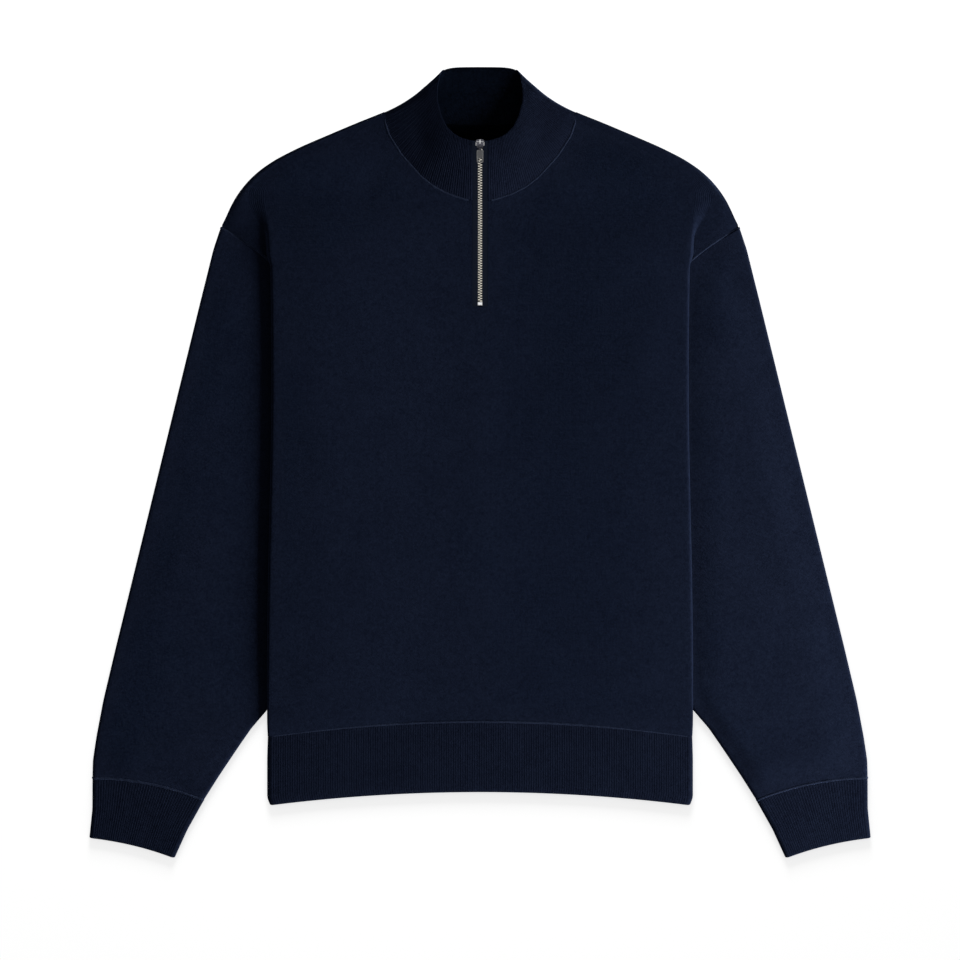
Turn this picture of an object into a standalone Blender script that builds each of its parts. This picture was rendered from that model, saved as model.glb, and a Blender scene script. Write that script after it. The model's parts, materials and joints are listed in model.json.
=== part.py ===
"""Quarter zip sweater in navy knit, laid flat with its front up.

Lengths are millimetres up to the last step, which writes meshes in metres.
+X is the wearer's left, +Y runs from the hem to the collar, +Z is up from the floor.
A place in plan is (x, down): across from the centre line, and down from the collar's top.
"""
from collections import namedtuple
from math import atan, cos, pi, radians, sin

import bmesh
import bpy
import numpy as np
from mathutils import Matrix, Vector

# Driving dimensions, in millimetres.
LENGTH = 790.5               # collar's top to the lowest cuff corner
WALL = 2.0                   # body and sleeve knit
RIB_WALL = 2.2               # rib knit between its ribs
RIB_RISE = 0.8               # a rib above the wall it stands on
SEAM_GAP = 0.4               # between two pieces that are sewn together
CENTRE_Z = 5.2               # middle of the front's wall, on the centre line
BACK_Z = WALL / 2            # middle of the back's wall, on the floor
HEM_RIBS = 177
CUFF_RIBS = 40
COLLAR_RIBS = 53             # from the zip to one side of the collar
HEM_HALF = 212.6             # half of the hem's width
SIDE_HALF = 212.0            # half of the body's width at its lowest side folds

# The zip, its slider and its pull tab.
ZIP_HALF = 7.8               # half of the slot that shows the zip
ZIP_TOP = 73.7               # down to the slider's top
ZIP_FOOT = 239.7             # down to the end of the slot
TEETH_HALF = 2.75
TEETH_THICK = 2.4
TEETH_RISE = 0.5             # middle of the teeth above the middle of the tape
TAPE_WIDTH = 9.0
TAPE_THICK = 0.7
TAPE_Z = CENTRE_Z - WALL / 2 - 0.3 - TAPE_THICK / 2  # middle of the tape in the body
TAPE_BELOW = RIB_WALL / 2 + 0.7 + TAPE_THICK / 2     # tape under the middle of the collar's wall
TAPE_PAST_SLOT = 3.0
ZIP_GAP = 0.3                # between the zip's own pieces
STOP_HALF = 2.7
STOP_LENGTH = 4.0
STOP_THICK = 2.8
SLIDER_LENGTH = 9.0
SLIDER_HALF = 4.5
SLIDER_FOOT = ZIP_TOP + SLIDER_LENGTH
CORE_HALF = 2.4              # the slider's middle, between its two plates
LUG_HALF = 2.7               # across the two cheeks that hold the pin
LUG_THICK = 0.8
PIN_BACK = 1.8               # from the slider's lower end to the pin
PIN_HEIGHT = 3.6             # the pin above the teeth
PIN_RADIUS = 0.6
PULL_LENGTH = 16.3           # pin to the pull tab's end
PULL_HALF = 3.3
PULL_THICK = 1.0
PULL_DIP = radians(9.6)      # the tab at rest, nose down onto the teeth
PULL_EYE = 1.0               # radius of the eye that turns on the pin
PULL_HOLE = 1.5              # radius of the hole near the tab's end
HOLE_BACK = 2.6              # from the tab's end to the middle of that hole

# The outline of shoulder, sleeve and cuff, as half widths.
Edge = namedtuple("Edge", "down x")
SHOULDER_POINT = Edge(160.7, 259.3)
CUFF_OUTER = Edge(709.9, 387.2)
OUTLINE = [
    Edge(45.7, 95.0), Edge(56.7, 122.8), Edge(68.7, 151.2), Edge(80.7, 179.3),
    Edge(92.7, 203.2), Edge(102.7, 218.3), Edge(112.7, 229.6), Edge(122.7, 238.2),
    Edge(132.7, 245.2), Edge(142.7, 250.5), Edge(152.7, 255.0), SHOULDER_POINT,
    Edge(182.7, 266.6), Edge(212.7, 274.0), Edge(232.7, 279.0), Edge(582.7, 364.6),
    Edge(632.7, 376.4), Edge(668.7, 383.2), Edge(692.7, 386.8), CUFF_OUTER,
    Edge(724.7, 386.2), Edge(740.7, 387.3), Edge(756.7, 389.4), Edge(770.2, 390.3),
]
# The inner edge of sleeve and cuff. Down to the hem it lies hidden under the body's side.
UNDERARM_POINT = Edge(282.7, 149.0)
CUFF_INNER = Edge(732.2, 275.8)
UNDERARM = [
    UNDERARM_POINT, Edge(382.7, 152.0), Edge(482.7, 160.0), Edge(582.7, 183.0),
    Edge(641.7, 212.0), Edge(660.7, 228.4), Edge(676.7, 239.5), Edge(692.7, 250.3),
    Edge(708.7, 261.0), CUFF_INNER, Edge(740.7, 281.1), Edge(756.7, 289.6),
    Edge(772.7, 297.3), Edge(790.2, 305.2),
]

# Rows of the front panel. Above the underarm the panel runs on past its side fold to the
# outline; below it the panel turns under at the fold and runs back in to the side seam.
Row = namedtuple("Row", "down fold fold_z")
SHOULDER_ROWS = [
    Row(45.7, 82.0, 5.2), Row(56.7, 106.0, 5.2), Row(68.7, 132.0, 5.2),
    Row(80.7, 158.0, 5.3), Row(92.7, 180.0, 5.4), Row(102.7, 195.0, 5.5),
    Row(112.7, 207.0, 5.6), Row(122.7, 214.0, 5.8), Row(132.7, 214.0, 6.4),
    Row(145.0, 212.0, 7.8), Row(160.7, 210.5, 9.8), Row(174.0, 209.5, 11.2),
    Row(185.0, 209.0, 11.8),
]
TUCKED_ROWS = [
    Row(203.0, 209.0, 12.0), Row(232.7, 208.5, 12.0), Row(282.7, 208.0, 12.0),
    Row(330.0, 208.0, 12.0), Row(382.7, 208.6, 12.0), Row(440.0, 209.8, 12.0),
    Row(500.0, 211.2, 12.0), Row(555.0, 212.0, 11.8), Row(600.0, 212.4, 11.4),
    Row(641.7, 212.4, 9.7), Row(654.2, SIDE_HALF, 6.4),
]
ACROSS = (0.0, 0.14, 0.28, 0.42, 0.56, 0.7, 0.84, 1.0)   # columns up to the fold
RISE_START, RISE_END = 0.08, 0.84    # where the front rises towards its side, as shares
STEP = 4.0                   # width of the step past the fold, where it is sharpest
SOFT_STEP = 0.7              # and on the shoulder, as a share of the way to the outline
SIDE_SEAM_IN = 6.0           # how far under the side fold the seam lies near the hem
SIDE_LIFT = 1.5              # rise of the front's edge before it turns under
TUCK_Z = 7.3                 # middle of the turned-under strip, above the sleeve
HEM_TUCK_Z = 3.4             # the same at the hem, above the back
BACK_TURN = 14.0             # width of the back's edge that turns up over the sleeve

# The collar's neck seam and its rim, each from the zip round to the side fold.
NECK_SEAM = [
    Edge(133.4, ZIP_HALF), Edge(132.6, 14.0), Edge(126.7, 32.0), Edge(119.5, 46.0),
    Edge(109.7, 58.5), Edge(88.7, 77.5), Edge(68.7, 90.3), Edge(55.5, 94.6), Edge(48.2, 93.8),
]
RIM = [
    Edge(74.7, ZIP_HALF), Edge(73.6, 13.0), Edge(71.3, 20.0), Edge(67.7, 26.0), Edge(60.7, 32.8),
    Edge(50.7, 37.8), Edge(34.7, 41.8), Edge(22.7, 41.8), Edge(15.0, 40.6), Edge(10.8, 38.9),
]
BACK_NECK = 58.5             # down to the middle of the back's neck edge
BACK_RIM = 0.3               # down to the middle of the collar's back rim
SEAM_Z = 5.7                 # middle of the collar's wall at the neck seam
RIM_Z = 17.0                 # and at the rim, beside the zip
CORNER_Z = 8.2               # and at the rim, where the collar folds to the back
BACK_RIM_Z = 3.2             # middle of the back's wall at the rim, on the centre line
CORNER_LIFT = 0.8            # the back's rim is that much higher at the fold
FLARE = 4.6                  # how far the collar's side curves in
COLLAR_CROWN = 2.2           # rise of the collar halfway between seam and rim
COLLAR_LEVELS = (0.0, 0.3, 0.65, 1.0)
COLLAR_DOWNS = [NECK_SEAM[0].down * (1 - level) + RIM[0].down * level for level in COLLAR_LEVELS]
ZIP_LEVEL = NECK_SEAM[0].down + 8.0      # from here down the zip lies level
INWARD = np.array((-0.7, 0.7))   # across the collar's side fold, in plan
DOWN_FOLD = (0.82, 0.57)     # along that fold, from the rim to the seam
ROLL = 2.4                   # how far the rim rolls over at the fold
ROUNDING = 1.6               # how far the rim's corner there is rounded off
BACK_SHARES = (0.97, 0.93, 0.86, 0.65, 0.35, 0.0)    # columns from that fold to the back's middle

# Sections of the flattened tubes. A bow is the rise of a seam's middle above its chord.
ARMHOLE_BOW = 15.5
CUFF_SEAM_BOW = 5.5
HEM_SEAM = 669.2             # down to the hem seam at the sides
HEM_SEAM_BOW = 15.0
Station = namedtuple("Station", "inner outer bow height")
SLEEVE = [                   # down at the inner and the outer edge
    Station(UNDERARM_POINT.down, SHOULDER_POINT.down, ARMHOLE_BOW, 5.3),
    Station(296.0, 182.7, 10.0, 5.4), Station(330.0, 232.7, 5.0, 5.8), Station(382.7, 300.0, 2.0, 5.8),
    Station(440.0, 380.0, 0.0, 5.8), Station(500.0, 460.0, 0.0, 5.8), Station(555.0, 530.0, 0.0, 5.8),
    Station(600.0, 582.7, 0.0, 5.8), Station(641.7, 622.0, 0.0, 5.8), Station(676.7, 656.0, 1.0, 6.0),
    Station(708.7, 688.0, 3.0, 6.4), Station(CUFF_INNER.down, CUFF_OUTER.down, CUFF_SEAM_BOW, 6.6),
]
CUFF = [                     # the inner and the outer edge
    Station(CUFF_INNER, CUFF_OUTER, CUFF_SEAM_BOW, 6.0),
    Station(Edge(762.0, 292.2), Edge(741.0, 387.3), 3.5, 6.6),
    Station(UNDERARM[-1], OUTLINE[-1], 2.7, 5.8),
]
Level = namedtuple("Level", "down half bow height")
HEM = [
    Level(HEM_SEAM, SIDE_HALF, HEM_SEAM_BOW, 6.9), Level(690.0, HEM_HALF, 14.5, 7.6),
    Level(730.0, HEM_HALF, 13.4, 7.4), Level(737.6, 209.6, 13.2, 6.2),
]
TURN = (-50, 0, 50)          # points round a tube's flattened side, in degrees

CUT_DEPTH = 60.0             # half height of the cutters
CUT_TOP = 20.0               # down to their upper end, past the panels' top edges
CUT_PAST = (3.0, -1.5)       # and past the end of the neck seam, in plan

NAVY = (0.0073, 0.0103, 0.0185)
RIB_NAVY = (0.0060, 0.0086, 0.0156)
TAPE_NAVY = (0.0080, 0.0110, 0.0180)
PALE_GOLD = (0.62, 0.52, 0.36)
SILVER = (0.55, 0.55, 0.54)


def to_world(x, down, z):
    """Place a plan point and a height in the frame, in metres."""
    return Vector((x, LENGTH / 2 - down, z)) * 0.001


def half_width(table, down):
    """Read a table of edges at one height."""
    return float(np.interp(down, [e.down for e in table], [e.x for e in table]))


def smooth(low, high, value):
    """Rise gently from 0 at low to 1 at high."""
    t = min(max((value - low) / (high - low), 0.0), 1.0)
    return t * t * (3 - 2 * t)


def bowed(start, end, bow, u):
    """A point along a chord whose middle is lifted by bow, towards the collar."""
    start, end = np.array(start), np.array(end)
    across = end - start
    lift = np.array((across[1], -across[0])) / np.hypot(*across)
    return start + across * u + lift * bow * 4 * u * (1 - u)


def along(points, fractions):
    """Points at the given fractions of a polyline's length."""
    points = np.array(points, float)
    steps = np.hypot(*np.diff(points, axis=0).T)
    at = np.concatenate(([0.0], np.cumsum(steps))) / steps.sum()
    return np.array([[np.interp(f, at, points[:, k]) for k in (0, 1)] for f in fractions])


def finish(name, mesh, colour, roughness=0.9, metallic=0.0):
    """Put a mesh in the sweater's collection with its own material."""
    material = bpy.data.materials.new(name)
    material.use_nodes = True
    shader = material.node_tree.nodes["Principled BSDF"]
    shader.inputs["Base Color"].default_value = (*colour, 1)
    shader.inputs["Roughness"].default_value = roughness
    shader.inputs["Metallic"].default_value = metallic
    mesh.materials.append(material)
    item = bpy.data.objects.new(name, mesh)
    sweater.objects.link(item)
    return item


def travelled(run):
    """How far along its run, seen in plan, each vertex lies, from 0 to 1."""
    steps = [(b.co - a.co).xy.length for a, b in zip(run, run[1:])]
    return np.concatenate(([0.0], np.cumsum(steps))) / sum(steps)


def stitch(bm, first, second):
    """Fill the strip between two runs of vertices that may differ in number."""
    first_at, second_at = travelled(first), travelled(second)
    i = j = 0
    while i < len(first) - 1 or j < len(second) - 1:
        if j == len(second) - 1 or (i < len(first) - 1 and first_at[i + 1] <= second_at[j + 1]):
            bm.faces.new((first[i], first[i + 1], second[j]))
            i += 1
        else:
            bm.faces.new((first[i], second[j + 1], second[j]))
            j += 1


def wall_mesh(name, outer, inner, closed):
    """Close a wall between a grid of outer points and a coarser grid of inner ones."""
    bm = bmesh.new()
    grids = [[[bm.verts.new(to_world(*p)) for p in row] for row in grid] for grid in (outer, inner)]
    if closed:
        for row in grids[0] + grids[1]:
            row.append(row[0])
    for grid in grids:
        for low, high in zip(grid, grid[1:]):
            for k in range(len(low) - 1):
                bm.faces.new((low[k], low[k + 1], high[k + 1], high[k]))
    for end in (0, -1):
        stitch(bm, grids[0][end], grids[1][end])
        if not closed:
            stitch(bm, [row[end] for row in grids[0]], [row[end] for row in grids[1]])
    bmesh.ops.recalc_face_normals(bm, faces=bm.faces)
    mesh = bpy.data.meshes.new(name)
    bm.to_mesh(mesh)
    bm.free()
    return mesh


def offset(grid, distance):
    """Move each point of a grid along the surface's normal."""
    grid = np.array(grid, float)
    down_rows = np.gradient(grid, axis=0)
    over_columns = np.gradient(grid, axis=1)
    normal = np.cross(over_columns, down_rows)
    normal /= np.linalg.norm(normal, axis=2, keepdims=True)
    return grid + normal * np.asarray(distance)[..., None]


def mirrored(half):
    """Make a whole row from its half at +X, whose first point is on the centre line."""
    return [(-x, down, z) for x, down, z in half[:0:-1]] + half


def cut(item, outline):
    """Cut a hole of a given plan outline right through a piece."""
    curve = bpy.data.curves.new(item.name + "_cut", "CURVE")
    curve.dimensions = "2D"
    curve.fill_mode = "BOTH"
    curve.extrude = CUT_DEPTH * 0.001
    spline = curve.splines.new("POLY")
    spline.points.add(len(outline) - 1)
    for point, (x, down) in zip(spline.points, outline):
        point.co = (*to_world(x, down, 0), 1)
    spline.use_cyclic_u = True
    guide = bpy.data.objects.new(curve.name, curve)
    cutters.objects.link(guide)
    bpy.context.view_layer.update()
    graph = bpy.context.evaluated_depsgraph_get()
    mesh = bpy.data.meshes.new_from_object(guide.evaluated_get(graph))
    bpy.data.objects.remove(guide)
    bm = bmesh.new()
    bm.from_mesh(mesh)
    bmesh.ops.remove_doubles(bm, verts=bm.verts, dist=0.00001)
    bmesh.ops.recalc_face_normals(bm, faces=bm.faces)
    bm.to_mesh(mesh)
    bm.free()
    cutter = bpy.data.objects.new(item.name + "_cutter", mesh)
    cutter.display_type = "WIRE"
    cutter.hide_render = True
    cutters.objects.link(cutter)
    hole = item.modifiers.new("opening", "BOOLEAN")
    hole.object = cutter
    hole.solver = "EXACT"


def armhole_edge():
    """The armhole seam as edges, from the outline in under the body to the underarm."""
    start = (UNDERARM_POINT.x, UNDERARM_POINT.down)
    end = (SHOULDER_POINT.x, SHOULDER_POINT.down)
    points = [bowed(start, end, ARMHOLE_BOW, u) for u in np.linspace(1, 0, 25)]
    return [Edge(float(down), float(x)) for x, down in points]


def cut_edge(down):
    """Where front and back are joined: the outline, the armhole, then the underarm's line."""
    if down <= SHOULDER_POINT.down:
        return half_width(OUTLINE, down)
    if down < UNDERARM_POINT.down:
        return half_width(armhole_edge(), down)
    return min(half_width(UNDERARM, down), SIDE_HALF - SIDE_SEAM_IN)


def hem_seam(x):
    """How far down the hem seam lies, which rises towards the centre line."""
    return HEM_SEAM - HEM_SEAM_BOW * (1 - (x / HEM_HALF) ** 2)


def rise_to_fold(row, share):
    """Middle of the front's wall, which rises from the centre line towards its side."""
    return CENTRE_Z + (row.fold_z - CENTRE_Z) * smooth(RISE_START, RISE_END, share)


def shoulder_section(row):
    """Half of the front's middle surface where it runs on past the fold."""
    end = cut_edge(row.down) - SEAM_GAP
    low_z = CENTRE_Z + SIDE_LIFT * smooth(150.0, 188.0, row.down)
    end_z = BACK_Z + WALL + 0.3 if row.down <= SHOULDER_POINT.down else low_z
    softness = 1 - smooth(118.0, 172.0, row.down)
    step = STEP + (SOFT_STEP * (end - row.fold) - STEP) * softness
    half = [(row.fold * share, row.down, rise_to_fold(row, share)) for share in ACROSS]
    for share in (0.3, 0.65, 1.0):
        z = row.fold_z - (row.fold_z - low_z) * smooth(0.0, 1.0, share)
        half.append((row.fold + step * share, row.down, z))
    start = row.fold + step
    for share, drop in ((0.35, 0.0), (0.7, 0.25), (1.0, 1.0)):
        half.append((start + (end - start) * share, row.down, low_z - (low_z - end_z) * drop))
    return half


def tucked_section(row):
    """Half of the front's middle surface where it turns under at the fold."""
    last = row is TUCKED_ROWS[-1]
    tuck_z = HEM_TUCK_Z if last else TUCK_Z
    radius = (row.fold_z - tuck_z) / 2
    flat = row.fold - radius - WALL / 2
    half = [(flat * share, row.down, rise_to_fold(row, share)) for share in ACROSS]
    for angle in np.radians((54, 18, -18, -54, -90)):
        half.append((flat + radius * cos(angle), row.down, tuck_z + radius + radius * sin(angle)))
    half.append((min(cut_edge(row.down), flat - 0.8), row.down, tuck_z))
    if last:
        half = [(x, hem_seam(x) - SEAM_GAP, z) for x, down, z in half]
    return half


def moved_away(edges, gap):
    """A line of edges in plan, moved by a gap away from the neck."""
    line = np.array([(e.x, e.down) for e in edges])
    run = np.gradient(line, axis=0)
    run /= np.linalg.norm(run, axis=1)[:, None]
    return [(x - gap * along_down, down + gap * along_x)
            for (x, down), (along_x, along_down) in zip(line, run)]


def make_front():
    """The front, from the shoulders to the hem seam, with its slot for the zip."""
    rows = [shoulder_section(r) for r in SHOULDER_ROWS] + [tucked_section(r) for r in TUCKED_ROWS]
    middle = [mirrored(half) for half in rows]
    mesh = wall_mesh("front_panel", offset(middle, WALL / 2), offset(middle, -WALL / 2), False)
    front = finish("front_panel", mesh, NAVY)
    neck = moved_away(NECK_SEAM, SEAM_GAP + 0.2)
    past = (neck[-1][0] + CUT_PAST[0], neck[-1][1] + CUT_PAST[1])
    half = [(ZIP_HALF, ZIP_FOOT), (ZIP_HALF, neck[0][1])] + neck[1:] + [past, (past[0], CUT_TOP)]
    cut(front, half + [(-x, down) for x, down in reversed(half)])


def make_back():
    """The back, flat on the floor, with its sides turned up to meet the front's."""
    grid = []
    for row in SHOULDER_ROWS + TUCKED_ROWS:
        width = cut_edge(row.down) - 2 * SEAM_GAP
        over_sleeve = smooth(240.0, 300.0, row.down) * (1 - smooth(600.0, 641.0, row.down))
        lift = (TUCK_Z - WALL - 0.5 - BACK_Z) * over_sleeve
        half = [(width * share, row.down, BACK_Z) for share in (0, 0.3, 0.6, 0.8)]
        half.append((width - BACK_TURN, row.down, BACK_Z))
        half.append((width - BACK_TURN / 3, row.down, BACK_Z + lift * 0.75))
        half.append((width - WALL / 2, row.down, BACK_Z + lift))
        if row is TUCKED_ROWS[-1]:
            half = [(x, hem_seam(x) - SEAM_GAP, z) for x, down, z in half]
        grid.append(mirrored(half))
    mesh = wall_mesh("back_panel", offset(grid, WALL / 2), offset(grid, -WALL / 2), False)
    back = finish("back_panel", mesh, NAVY)
    side = NECK_SEAM[-1]
    dip = [(x, BACK_NECK + SEAM_GAP - (BACK_NECK - side.down) * (x / side.x) ** 2)
           for x in np.linspace(0, side.x + CUT_PAST[0] + 1.0, 9)]
    half = dip + [(dip[-1][0], CUT_TOP)]
    cut(back, half + [(-x, down) for x, down in reversed(half[1:])])


# One section of a flattened tube: its ends in plan, the bow between them, its height.
Section = namedtuple("Section", "start end bow height")


def tube_rings(section, top_columns, rib_rise, wall):
    """Outer and inner rings of one section, from the start along the floor and back over."""
    span = float(np.hypot(section.end[0] - section.start[0], section.end[1] - section.start[1]))
    height, turn = section.height, section.height / 2
    hollow = turn - wall
    ends = (turn / span, 1 - turn / span)
    outer = [(span * u, 0.0) for u in np.linspace(*ends, 5)]
    outer += [(span - turn + turn * cos(radians(a)), turn + turn * sin(radians(a))) for a in TURN]
    outer += [(span * u, height + rib_rise * (k % 2))
              for k, u in enumerate(np.linspace(*ends[::-1], top_columns))]
    outer += [(turn - turn * cos(radians(a)), turn - turn * sin(radians(a))) for a in TURN]
    inner = [(span * u, wall) for u in np.linspace(*ends, 5)]
    inner.append((span - turn + hollow, turn))
    inner += [(span * u, height - wall) for u in np.linspace(*ends[::-1], 7)]
    inner.append((turn - hollow, turn))
    return [[(*bowed(section.start, section.end, section.bow, distance / span), z) for distance, z in ring]
            for ring in (outer, inner)]


def flat_tube(name, sections, colour, side=1, top_columns=9, rib_rise=0.0, wall=WALL):
    """A tube of knit pressed flat on the floor, on one side of the centre line."""
    rings = [tube_rings(s, top_columns, rib_rise, wall) for s in sections]
    outer, inner = ([[(side * x, down, z) for x, down, z in pair[k]] for pair in rings] for k in (0, 1))
    finish(name, wall_mesh(name, outer, inner, True), colour)


def section_between(inner, outer, station, gap=0.0):
    """The section from one edge to another, a gap further down the garment."""
    return Section((inner.x, inner.down + gap), (outer.x, outer.down + gap), station.bow, station.height)


def make_sleeve(name, side):
    """A sleeve, from the armhole seam to the cuff seam."""
    gaps = [SEAM_GAP] + [0.0] * (len(SLEEVE) - 2) + [-SEAM_GAP]
    sections = []
    for station, gap in zip(SLEEVE, gaps):
        inner = Edge(station.inner, half_width(UNDERARM, station.inner))
        outer = Edge(station.outer, half_width(OUTLINE, station.outer))
        sections.append(section_between(inner, outer, station, gap))
    flat_tube(name, sections, NAVY, side)


def make_cuff(name, side):
    """A rib cuff, with its ribs raised on the side that shows."""
    sections = [section_between(s.inner, s.outer, s, gap) for s, gap in zip(CUFF, (SEAM_GAP, 0.0, 0.0))]
    flat_tube(name, sections, RIB_NAVY, side, 2 * CUFF_RIBS + 1, RIB_RISE, RIB_WALL)


def make_hem():
    """The rib hem, a flattened band all round the body."""
    sections = [Section((-level.half, level.down), (level.half, level.down), level.bow, level.height)
                for level in HEM]
    flat_tube("hem_rib", sections, RIB_NAVY, 1, 2 * HEM_RIBS + 1, RIB_RISE, RIB_WALL)


def collar_z(level, rim_z=RIM_Z):
    """Middle of the collar's wall at a level from 0 at the seam to 1 at the rim."""
    return SEAM_Z * (1 - level) + rim_z * level + COLLAR_CROWN * 4 * level * (1 - level)


def collar_ring(level, rib_columns):
    """Half of the collar's middle surface at one level, from the centre back to the zip."""
    fractions = np.linspace(0, 1, rib_columns)
    seam = along([(e.x, e.down) for e in NECK_SEAM], fractions)
    rim = along([(e.x, e.down) for e in RIM], fractions)
    plan = seam * (1 - level) + rim * level
    plan += np.outer(fractions ** 3, INWARD) * FLARE * 4 * level * (1 - level)
    height = collar_z(level, RIM_Z + (CORNER_Z - RIM_Z) * fractions ** 1.6)
    back_z = RIB_WALL / 2 * (1 - level) + BACK_RIM_Z * level
    lift = CORNER_LIFT * level
    front = [(*point, z) for point, z in zip(plan, height)]
    corner_x, corner_down, corner_z = front[-1]
    radius = (corner_z - back_z - lift) / 2
    for angle in np.radians((45, 0, -45, -90)):
        out = radius * cos(angle) + ROLL * level * (1 - sin(angle)) / 2
        rounded = ROUNDING * level ** 6 * cos(angle)
        front.append((corner_x - INWARD[0] * out + DOWN_FOLD[0] * rounded,
                      corner_down - INWARD[1] * out + DOWN_FOLD[1] * rounded,
                      back_z + lift + radius + radius * sin(angle)))
    turn_x, turn_down, _ = front[-1]
    back_down = BACK_NECK * (1 - level) + BACK_RIM * level
    for share in BACK_SHARES:
        dip = (turn_down - back_down) * share ** (2 + 8 * level)
        front.append((turn_x * share, back_down + dip, back_z + lift * share ** 6))
    return front[::-1]


def make_collar():
    """The ribbed stand collar, open at the front where the zip runs."""
    columns = 2 * COLLAR_RIBS + 1
    middle = [mirrored(collar_ring(level, columns)) for level in COLLAR_LEVELS]
    rise = np.full((len(COLLAR_LEVELS), len(middle[0])), RIB_WALL / 2)
    rise[:, :columns][:, 1::2] += RIB_RISE
    rise[:, -columns:][:, 1::2] += RIB_RISE
    outer = offset(middle, rise)
    plain = [mirrored(collar_ring(level, 11)) for level in COLLAR_LEVELS]
    mesh = wall_mesh("collar", outer, offset(plain, -RIB_WALL / 2), False)
    finish("collar", mesh, RIB_NAVY)


def zip_height(down):
    """Middle of the zip's tape: level in the body, then up behind the collar."""
    downs = COLLAR_DOWNS[::-1] + [ZIP_LEVEL]
    heights = [collar_z(level) - TAPE_BELOW for level in COLLAR_LEVELS[::-1]] + [TAPE_Z]
    return float(np.interp(down, downs, heights))


def ribbon(name, sides, downs, thick, rise, colour, roughness, metallic):
    """A strip with a rectangular section that follows the zip."""
    bm = bmesh.new()
    loops = []
    for down in downs:
        z = zip_height(down) + rise
        corners = [(sides[0], z - thick / 2), (sides[1], z - thick / 2),
                   (sides[1], z + thick / 2), (sides[0], z + thick / 2)]
        loops.append([bm.verts.new(to_world(x, down, height)) for x, height in corners])
    for loop in (loops[0], loops[-1]):
        bm.faces.new(loop)
    for first, second in zip(loops, loops[1:]):
        for k in range(4):
            bm.faces.new((first[k], first[(k + 1) % 4], second[(k + 1) % 4], second[k]))
    bmesh.ops.recalc_face_normals(bm, faces=bm.faces)
    mesh = bpy.data.meshes.new(name)
    bm.to_mesh(mesh)
    bm.free()
    finish(name, mesh, colour, roughness, metallic)


def make_zip():
    """The zip's tapes, its closed chain of teeth and its bottom stop."""
    bends = COLLAR_DOWNS[::-1][1:] + [ZIP_LEVEL]
    tape_start = TEETH_HALF + ZIP_GAP
    for name, side in (("zip_tape_left", 1), ("zip_tape_right", -1)):
        sides = (side * tape_start, side * (tape_start + TAPE_WIDTH))
        downs = (RIM[0].down, *bends, ZIP_FOOT + TAPE_PAST_SLOT)
        ribbon(name, sides, downs, TAPE_THICK, 0.0, TAPE_NAVY, 0.8, 0.0)
    teeth_foot = ZIP_FOOT - STOP_LENGTH - 1.0
    stop_top = teeth_foot + ZIP_GAP
    ribbon("zip_teeth", (-TEETH_HALF, TEETH_HALF), (SLIDER_FOOT + ZIP_GAP, *bends, teeth_foot),
           TEETH_THICK, TEETH_RISE, PALE_GOLD, 0.35, 1.0)
    ribbon("zip_bottom_stop", (-STOP_HALF, STOP_HALF), (stop_top, stop_top + STOP_LENGTH),
           STOP_THICK, TEETH_RISE, SILVER, 0.3, 1.0)


def shape_mesh(name, bm):
    """Write a shape made in millimetres to a mesh in metres."""
    bmesh.ops.scale(bm, vec=(0.001, 0.001, 0.001), verts=bm.verts)
    mesh = bpy.data.meshes.new(name)
    bm.to_mesh(mesh)
    bm.free()
    return mesh


def box(name, low, high):
    """A box between two corners."""
    low, high = Vector(low), Vector(high)
    bm = bmesh.new()
    bmesh.ops.create_cube(bm, size=1.0)
    bmesh.ops.scale(bm, vec=high - low, verts=bm.verts)
    bmesh.ops.translate(bm, vec=(low + high) / 2, verts=bm.verts)
    return shape_mesh(name, bm)


def cylinder(name, radius, length, turn):
    """A cylinder along Z, brought to its place by a matrix."""
    bm = bmesh.new()
    bmesh.ops.create_cone(bm, cap_ends=True, segments=16, radius1=radius, radius2=radius, depth=length,
                          matrix=turn)
    return shape_mesh(name, bm)


def combine(item, meshes, operation):
    """Join further meshes to a piece, or cut them from it."""
    for k, mesh in enumerate(meshes):
        helper = bpy.data.objects.new(f"{item.name}_{operation.lower()}_{k}", mesh)
        helper.parent = item.parent
        helper.rotation_euler = item.rotation_euler
        helper.display_type = "WIRE"
        helper.hide_render = True
        cutters.objects.link(helper)
        step = item.modifiers.new(helper.name, "BOOLEAN")
        step.object = helper
        step.operation = operation
        step.solver = "EXACT"


def pin_mount():
    """An empty on the pull tab's pin, tilted as the zip is behind the collar's rim."""
    pin_down = SLIDER_FOOT - PIN_BACK
    teeth_top = zip_height(pin_down) + TEETH_RISE + TEETH_THICK / 2
    tilt = atan((zip_height(RIM[0].down) - zip_height(SLIDER_FOOT)) / (SLIDER_FOOT - RIM[0].down))
    mount = bpy.data.objects.new("pull_pin_axis", None)
    up_from_teeth = Vector((0, -sin(tilt), cos(tilt))) * PIN_HEIGHT * 0.001
    mount.location = to_world(0, pin_down, teeth_top) + up_from_teeth
    mount.rotation_euler = (tilt, 0, 0)
    sweater.objects.link(mount)
    return mount


ACROSS_ZIP = Matrix.Rotation(pi / 2, 4, "Y")


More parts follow.
